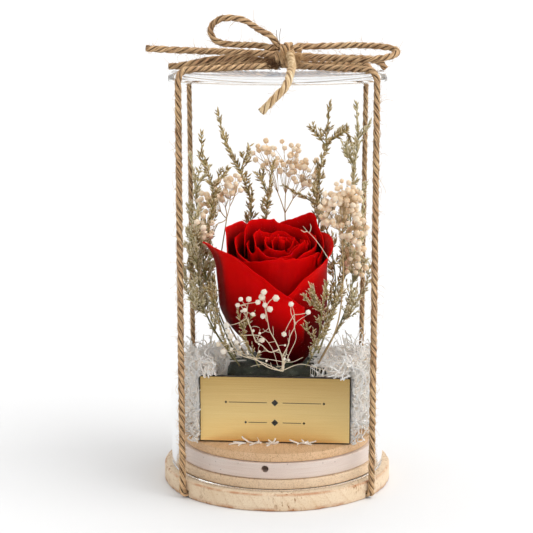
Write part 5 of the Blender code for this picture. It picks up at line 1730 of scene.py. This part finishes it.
def clear_of_rose(place):
    """True if a point is outside the bloom and inside the glass."""
    if math.hypot(place.x, place.y) > INSIDE_GLASS or place.z > GLASS_TOP - 2 * GLASS_WALL:
        return False
    if not ROSE_FOOT_HEIGHT < place.z < ROSE_CLEAR_TOP:
        return True
    x, y = rose_axis(place.z, 0)
    room = ROSE_CLEAR * math.sin(math.pi / 2 * min(1.0, (place.z - 50 * MM) / (36 * MM)))
    return math.hypot(place.x - x, place.y - y) > room


print("caspia:", sum(len(arms) for _, arms in CASPIA), "arms on", len(CASPIA), "twigs")

# %% [markdown]
# Twig and arms carry short side shoots on their upper parts, and all of them bear slim florets in
# two rows that point forwards, like a feather. Sprigs near the rose's front are finer and barer,
# and a few are bleached paler than the rest.

# %% Caspia sprigs
PALE_SPRIGS = (3, 6, 11, 12)
FRONT_SPRIGS = (8, 9, 10, 11)
SPRIG_STEP = 1.0 * MM
SHOOT_RADIUS = 0.17 * MM


def side_of(heading, rng):
    """A random direction square to a heading."""
    away = any_way(rng)
    return (away - heading * away.dot(heading)).normalized()


def florets_along(route, rng, first, size, pale):
    """Slim florets that stand off a shoot like the teeth of a comb, most of them on one side."""
    places = []
    side = side_of((route[-1] - route[0]).normalized(), rng)
    for k in range(round(first * len(route)), len(route)):
        ahead, behind = route[min(k + 1, len(route) - 1)], route[max(k - 1, 0)]
        heading = (ahead - behind).normalized()
        side = (side - heading * side.dot(heading)).normalized()
        near_tip = k / (len(route) - 1)
        for sign in (1.0, -0.8):
            spread = sign * (0.95 - 0.40 * near_tip + rng.uniform(-0.2, 0.2))
            way = (heading + side * spread + side_of(heading, rng) * 0.35).normalized()
            length = size * rng.uniform(0.7, 1.15)
            place = route[k] + heading * rng.uniform(-0.5, 0.5) * MM
            if rng.random() < 0.84 and clear_of_rose(place + way * length):
                tint = min(1, rng.random() + pale)
                places.append((place, way, (0.15 * length, 0.15 * length, length), tint))
    return places


def build_caspia(number, stem, arms, rng):
    """One sprig: the twig and its arms, side shoots on their upper parts, and the florets."""
    pale = 0.2 if number in PALE_SPRIGS else 0.0
    size = (2.5 if number in FRONT_SPRIGS else 3.1) * MM
    lines = [([Vector(p) * MM for p in stem], 0.20, 0.5, 0.55)]
    for start, arm in arms:
        lines.append(([Vector(p) * MM for p in (stem[start], *arm)], 0.10, 0.34, 0.25))
    strands, places = [], []
    for points, bare, thickness, first in lines:
        route = smooth_route(points, SPRIG_STEP)
        last = len(route) - 1
        strands.append([(p, MM * thickness * (1 - 0.62 * k / last)) for k, p in enumerate(route)])
        places += florets_along(route, rng, first, size, pale)
        k = round(bare * last)
        while k < 0.9 * last:
            heading = (route[k + 1] - route[k - 1]).normalized()
            away = side_of(heading, rng)
            away.z = abs(away.z)
            reach = rng.uniform(3.0, 8.5) * MM * (1.30 - k / last)
            shoot = [route[k]]
            way = (heading + away * rng.uniform(0.6, 1.0)).normalized()
            for _ in range(max(3, round(reach / SPRIG_STEP))):
                shoot.append(shoot[-1] + way * SPRIG_STEP)
                way = (way + heading * 0.10 + Vector((0, 0, 0.05))).normalized()
            if clear_of_rose(shoot[-1]):
                strands.append([(p, SHOOT_RADIUS) for p in shoot])
                places += florets_along(shoot, rng, 0.25, 0.95 * size, pale)
            k += rng.choice((2, 3, 4) if number in FRONT_SPRIGS else (1, 2, 3))
    name = f"caspia_sprig_{number:02d}"
    twig = put(name, strand_mesh(name, strands), caspia_stem)
    buds = copy_to(name + "_buds", floret, places, pale_caspia if number in PALE_SPRIGS else caspia_finish)
    settle(join([twig, buds], name + "_dried"), "dried_caspia", name)
    return len(places)


rng = random.Random(37)
total = sum(build_caspia(count + 1, stem, arms, rng) for count, (stem, arms) in enumerate(CASPIA))
print("caspia:", total, "florets on", len(CASPIA), "sprigs")

# %% [markdown]
# Gypsophila carries small round double flowers, each on a hair-thin stalk, in loose clouds. The
# stalks fork again and again, so every cloud is a set of round balls in an oval space, with
# stalks that gather in a fork below it.

# %% Gypsophila clouds
# For each spray: its stem, and its clouds as (centre, half size, how many flowers), in mm.
SPRAYS = [
    (
        [(4.0, 14.0, 56), (5.5, 27.0, 76), (4.5, 31.0, 100), (3.7, 30.0, 122)],
        [((-6.0, 27.0, 150.0), (7.0, 4.0, 7.5), 18), ((4.5, 27.5, 149.0), (8.0, 4.5, 8.5), 24),
         ((14.5, 26.0, 142.0), (8.0, 4.5, 9.0), 24)],
    ),
    (
        [(-15.0, 8.0, 56), (-26.5, 15.0, 78), (-27.5, 17.0, 98), (-24.0, 12.5, 122)],
        [((-25.5, 9.5, 137.0), (5.5, 4.0, 6.0), 15), ((-19.5, 9.5, 139.0), (4.5, 3.5, 5.5), 12),
         ((-31.5, 12.0, 131.0), (6.5, 5.0, 7.0), 20), ((-35.0, 4.0, 117.0), (5.0, 7.0, 9.0), 18)],
    ),
    (
        [(18.5, -10.0, 56), (27.0, -18.0, 76), (30.0, -15.5, 98), (29.5, -11.0, 116)],
        [((31.0, -7.0, 134.0), (8.0, 7.0, 9.0), 46), ((25.0, -8.0, 128.5), (7.0, 5.0, 9.5), 36),
         ((35.0, -10.0, 120.0), (6.0, 6.0, 10.0), 36), ((36.0, -8.0, 104.0), (5.0, 7.0, 10.0), 26)],
    ),
]
CLOUD_BALL = 1.72 * MM
CLOUD_STALK = 0.13 * MM
BALL_SPACING = 2.0 * MM


def stalk(start, end, rng, sag, points=6):
    """A thin stalk that leaves its fork steeply and bends towards its flower."""
    bend = start.lerp(end, 0.5) + any_way(rng, sag)
    line = []
    for k in range(points + 1):
        t = k / points
        line.append(start * (1 - t) ** 2 + bend * 2 * t * (1 - t) + end * t**2)
    return line


def build_cloud(fork, ends, rng, size, strands, places, thin):
    """Stalks from one fork to its flowers: two in three leave a neighbour's stalk half way."""
    lines = []
    for k, end in enumerate(ends):
        start = fork
        if lines and k % 3:
            start = rng.choice(lines)[3]
        line = stalk(start, end, rng, 1.0 * MM)
        lines.append(line)
        strands.append([(p, thin * (1.2 - 0.5 * j / len(line))) for j, p in enumerate(line)])
        radius = size * rng.uniform(0.70, 1.08)
        turn = any_way(rng).normalized()
        places.append((end, turn, (radius, radius, radius * rng.uniform(0.85, 1.0)), rng.random()))


def settle_spray(name, strands, places, stem_finish, ball_finish):
    """Makes one spray of its stalks and its balls."""
    stalks = put(name, strand_mesh(name, strands), stem_finish)
    balls = copy_to(name + "_balls", ball, places, ball_finish)
    settle(join([stalks, balls], name + "_dried"), "dried_gypsophila", name)
    print(name + ":", len(places), "flowers")


rng = random.Random(51)
for count, (stem, clouds) in enumerate(SPRAYS):
    route = smooth_route([Vector(p) * MM for p in stem], 2.0 * MM)
    strands = [[(p, MM * (0.5 - 0.2 * k / len(route))) for k, p in enumerate(route)]]
    places = []
    for centre, reach, flowers in clouds:
        centre = Vector(centre) * MM
        fork = route[-1].lerp(centre, 0.35)
        strands.append([(p, 0.25 * MM) for p in stalk(route[-1], fork, rng, 0.6 * MM)])
        ends = []
        while len(ends) < flowers:
            offset = Vector((rng.uniform(-1, 1), rng.uniform(-1, 1), rng.uniform(-1, 1)))
            place = centre + Vector(o * r * MM for o, r in zip(offset, reach))
            if offset.length < 1 and clear_of_rose(place):
                if all((place - other).length > BALL_SPACING for other in ends):
                    ends.append(place)
        build_cloud(fork, ends, rng, CLOUD_BALL, strands, places, CLOUD_STALK)
    settle_spray(f"gypsophila_spray_{count + 1:02d}", strands, places, spray_stem, ball_beige)

# %% [markdown]
# One more spray, bleached cream, lies in front of the rose, where each of its flowers and forks
# can be told apart. Their places are given as they appear from the camera, and each is sent out
# along the camera's line of sight to the depth where the spray hangs. Short side twigs with tiny
# buds leave its stems here and there.

# %% The spray in front
FRONT_BALLS_PX = (
    (264, 292), (249, 299), (241, 299), (238, 305), (245, 310), (276, 298), (291, 304), (308, 312),
    (258, 302), (265, 305), (253, 314), (263, 316), (284, 334), (262, 340), (227, 325), (228, 331),
    (231, 336), (219, 344), (224, 351), (237, 342), (270, 309), (262, 297),
)
FRONT_STEMS_PX = (
    ((283, 371), (282, 357), (276, 342), (270, 331), (268, 322)),
    ((282, 357), (288, 345), (290, 336), (294, 328)),
    ((283, 371), (268, 367), (254, 358), (243, 356), (237, 350)),
    ((279, 349), (270, 352), (262, 345), (256, 342)),
    ((256, 342), (252, 331), (247, 318)),
)
FRONT_TWIGS_PX = (
    ((281, 371), (262, 362), (243, 356), (226, 350), (219, 344)),
    ((283, 370), (300, 364), (318, 368), (333, 373)),
    ((281, 371), (290, 352), (296, 338), (295, 324), (308, 314)),
    ((296, 324), (291, 313), (291, 305)),
    ((244, 335), (261, 336), (272, 348), (278, 366)),
    ((237, 350), (251, 357), (268, 359), (290, 362), (303, 357)),
    ((330, 262), (322, 249), (314, 238), (307, 231), (303, 226)),
    ((309, 233), (311, 228), (310, 224)),
    ((307, 231), (304, 232), (301, 230)),
)
FRONT_STEM = [(3.0, -15.0, 56), (2.5, -27.0, 62.0), (3.2, -33.0, 66.0)]
FRONT_DEPTH = -34.0 * MM
FRONT_BALL = 1.6 * MM
FRONT_STALK = 0.15 * MM
SPROUT_RADIUS = 0.11 * MM


def seen_at(x_px, y_px, y):
    """The point at depth y that the camera shows at a pixel."""
    turn = camera.rotation_euler.to_matrix()
    half = FRAME_PX / 2
    ray = turn @ Vector(((x_px - half) / FOCAL_PX, (half - y_px) / FOCAL_PX, -1.0))
    start = Vector(CAMERA_PLACE)
    return start + ray * ((y - start.y) / ray.y)


route = smooth_route([Vector(p) * MM for p in FRONT_STEM], 1.5 * MM)
strands = [[(p, 0.45 * MM) for p in route]]
places = []
flowers = [seen_at(x, y, FRONT_DEPTH + rng.uniform(-2.5, 1.5) * MM) for x, y in FRONT_BALLS_PX]
stems = [smooth_route([seen_at(x, y, FRONT_DEPTH) for x, y in line], 1.2 * MM) for line in FRONT_STEMS_PX]
strands += [[(p, MM * (0.26 - 0.08 * k / len(line))) for k, p in enumerate(line)] for line in stems]
strands.append([(p, 0.4 * MM) for p in (route[-1], stems[0][0])])
forks = [line[-1] for line in stems]
for fork in forks:
    ends = [f for f in flowers if min(forks, key=lambda other: (other - f).length) == fork]
    build_cloud(fork, ends, rng, FRONT_BALL, strands, places, FRONT_STALK)
for line in FRONT_TWIGS_PX:
    spots = [seen_at(x, y, FRONT_DEPTH + rng.uniform(-2.5, 2) * MM) for x, y in line]
    points = smooth_route(spots, 1.5 * MM)
    strands.append([(p, 0.20 * MM * (1 - 0.5 * k / len(points))) for k, p in enumerate(points)])
for line in stems:
    for k in range(2, len(line), 2):
        way = Vector((rng.gauss(0, 1), -0.4, rng.gauss(0.3, 1)))
        sprout = curl(rng, line[k], way, rng.uniform(2.5, 6.5) * MM, 0.9)
        strands.append([(p, SPROUT_RADIUS) for p in sprout])
        if rng.random() < 0.45:
            bud = MM * rng.uniform(0.5, 0.9)
            places.append((sprout[-1], Vector((0.0, 0.0, 1.0)), (bud, bud, bud), rng.random()))
settle_spray("gypsophila_spray_04", strands, places, cream_stem, ball_cream)
for form in (floret, ball):
    bpy.data.objects.remove(form)
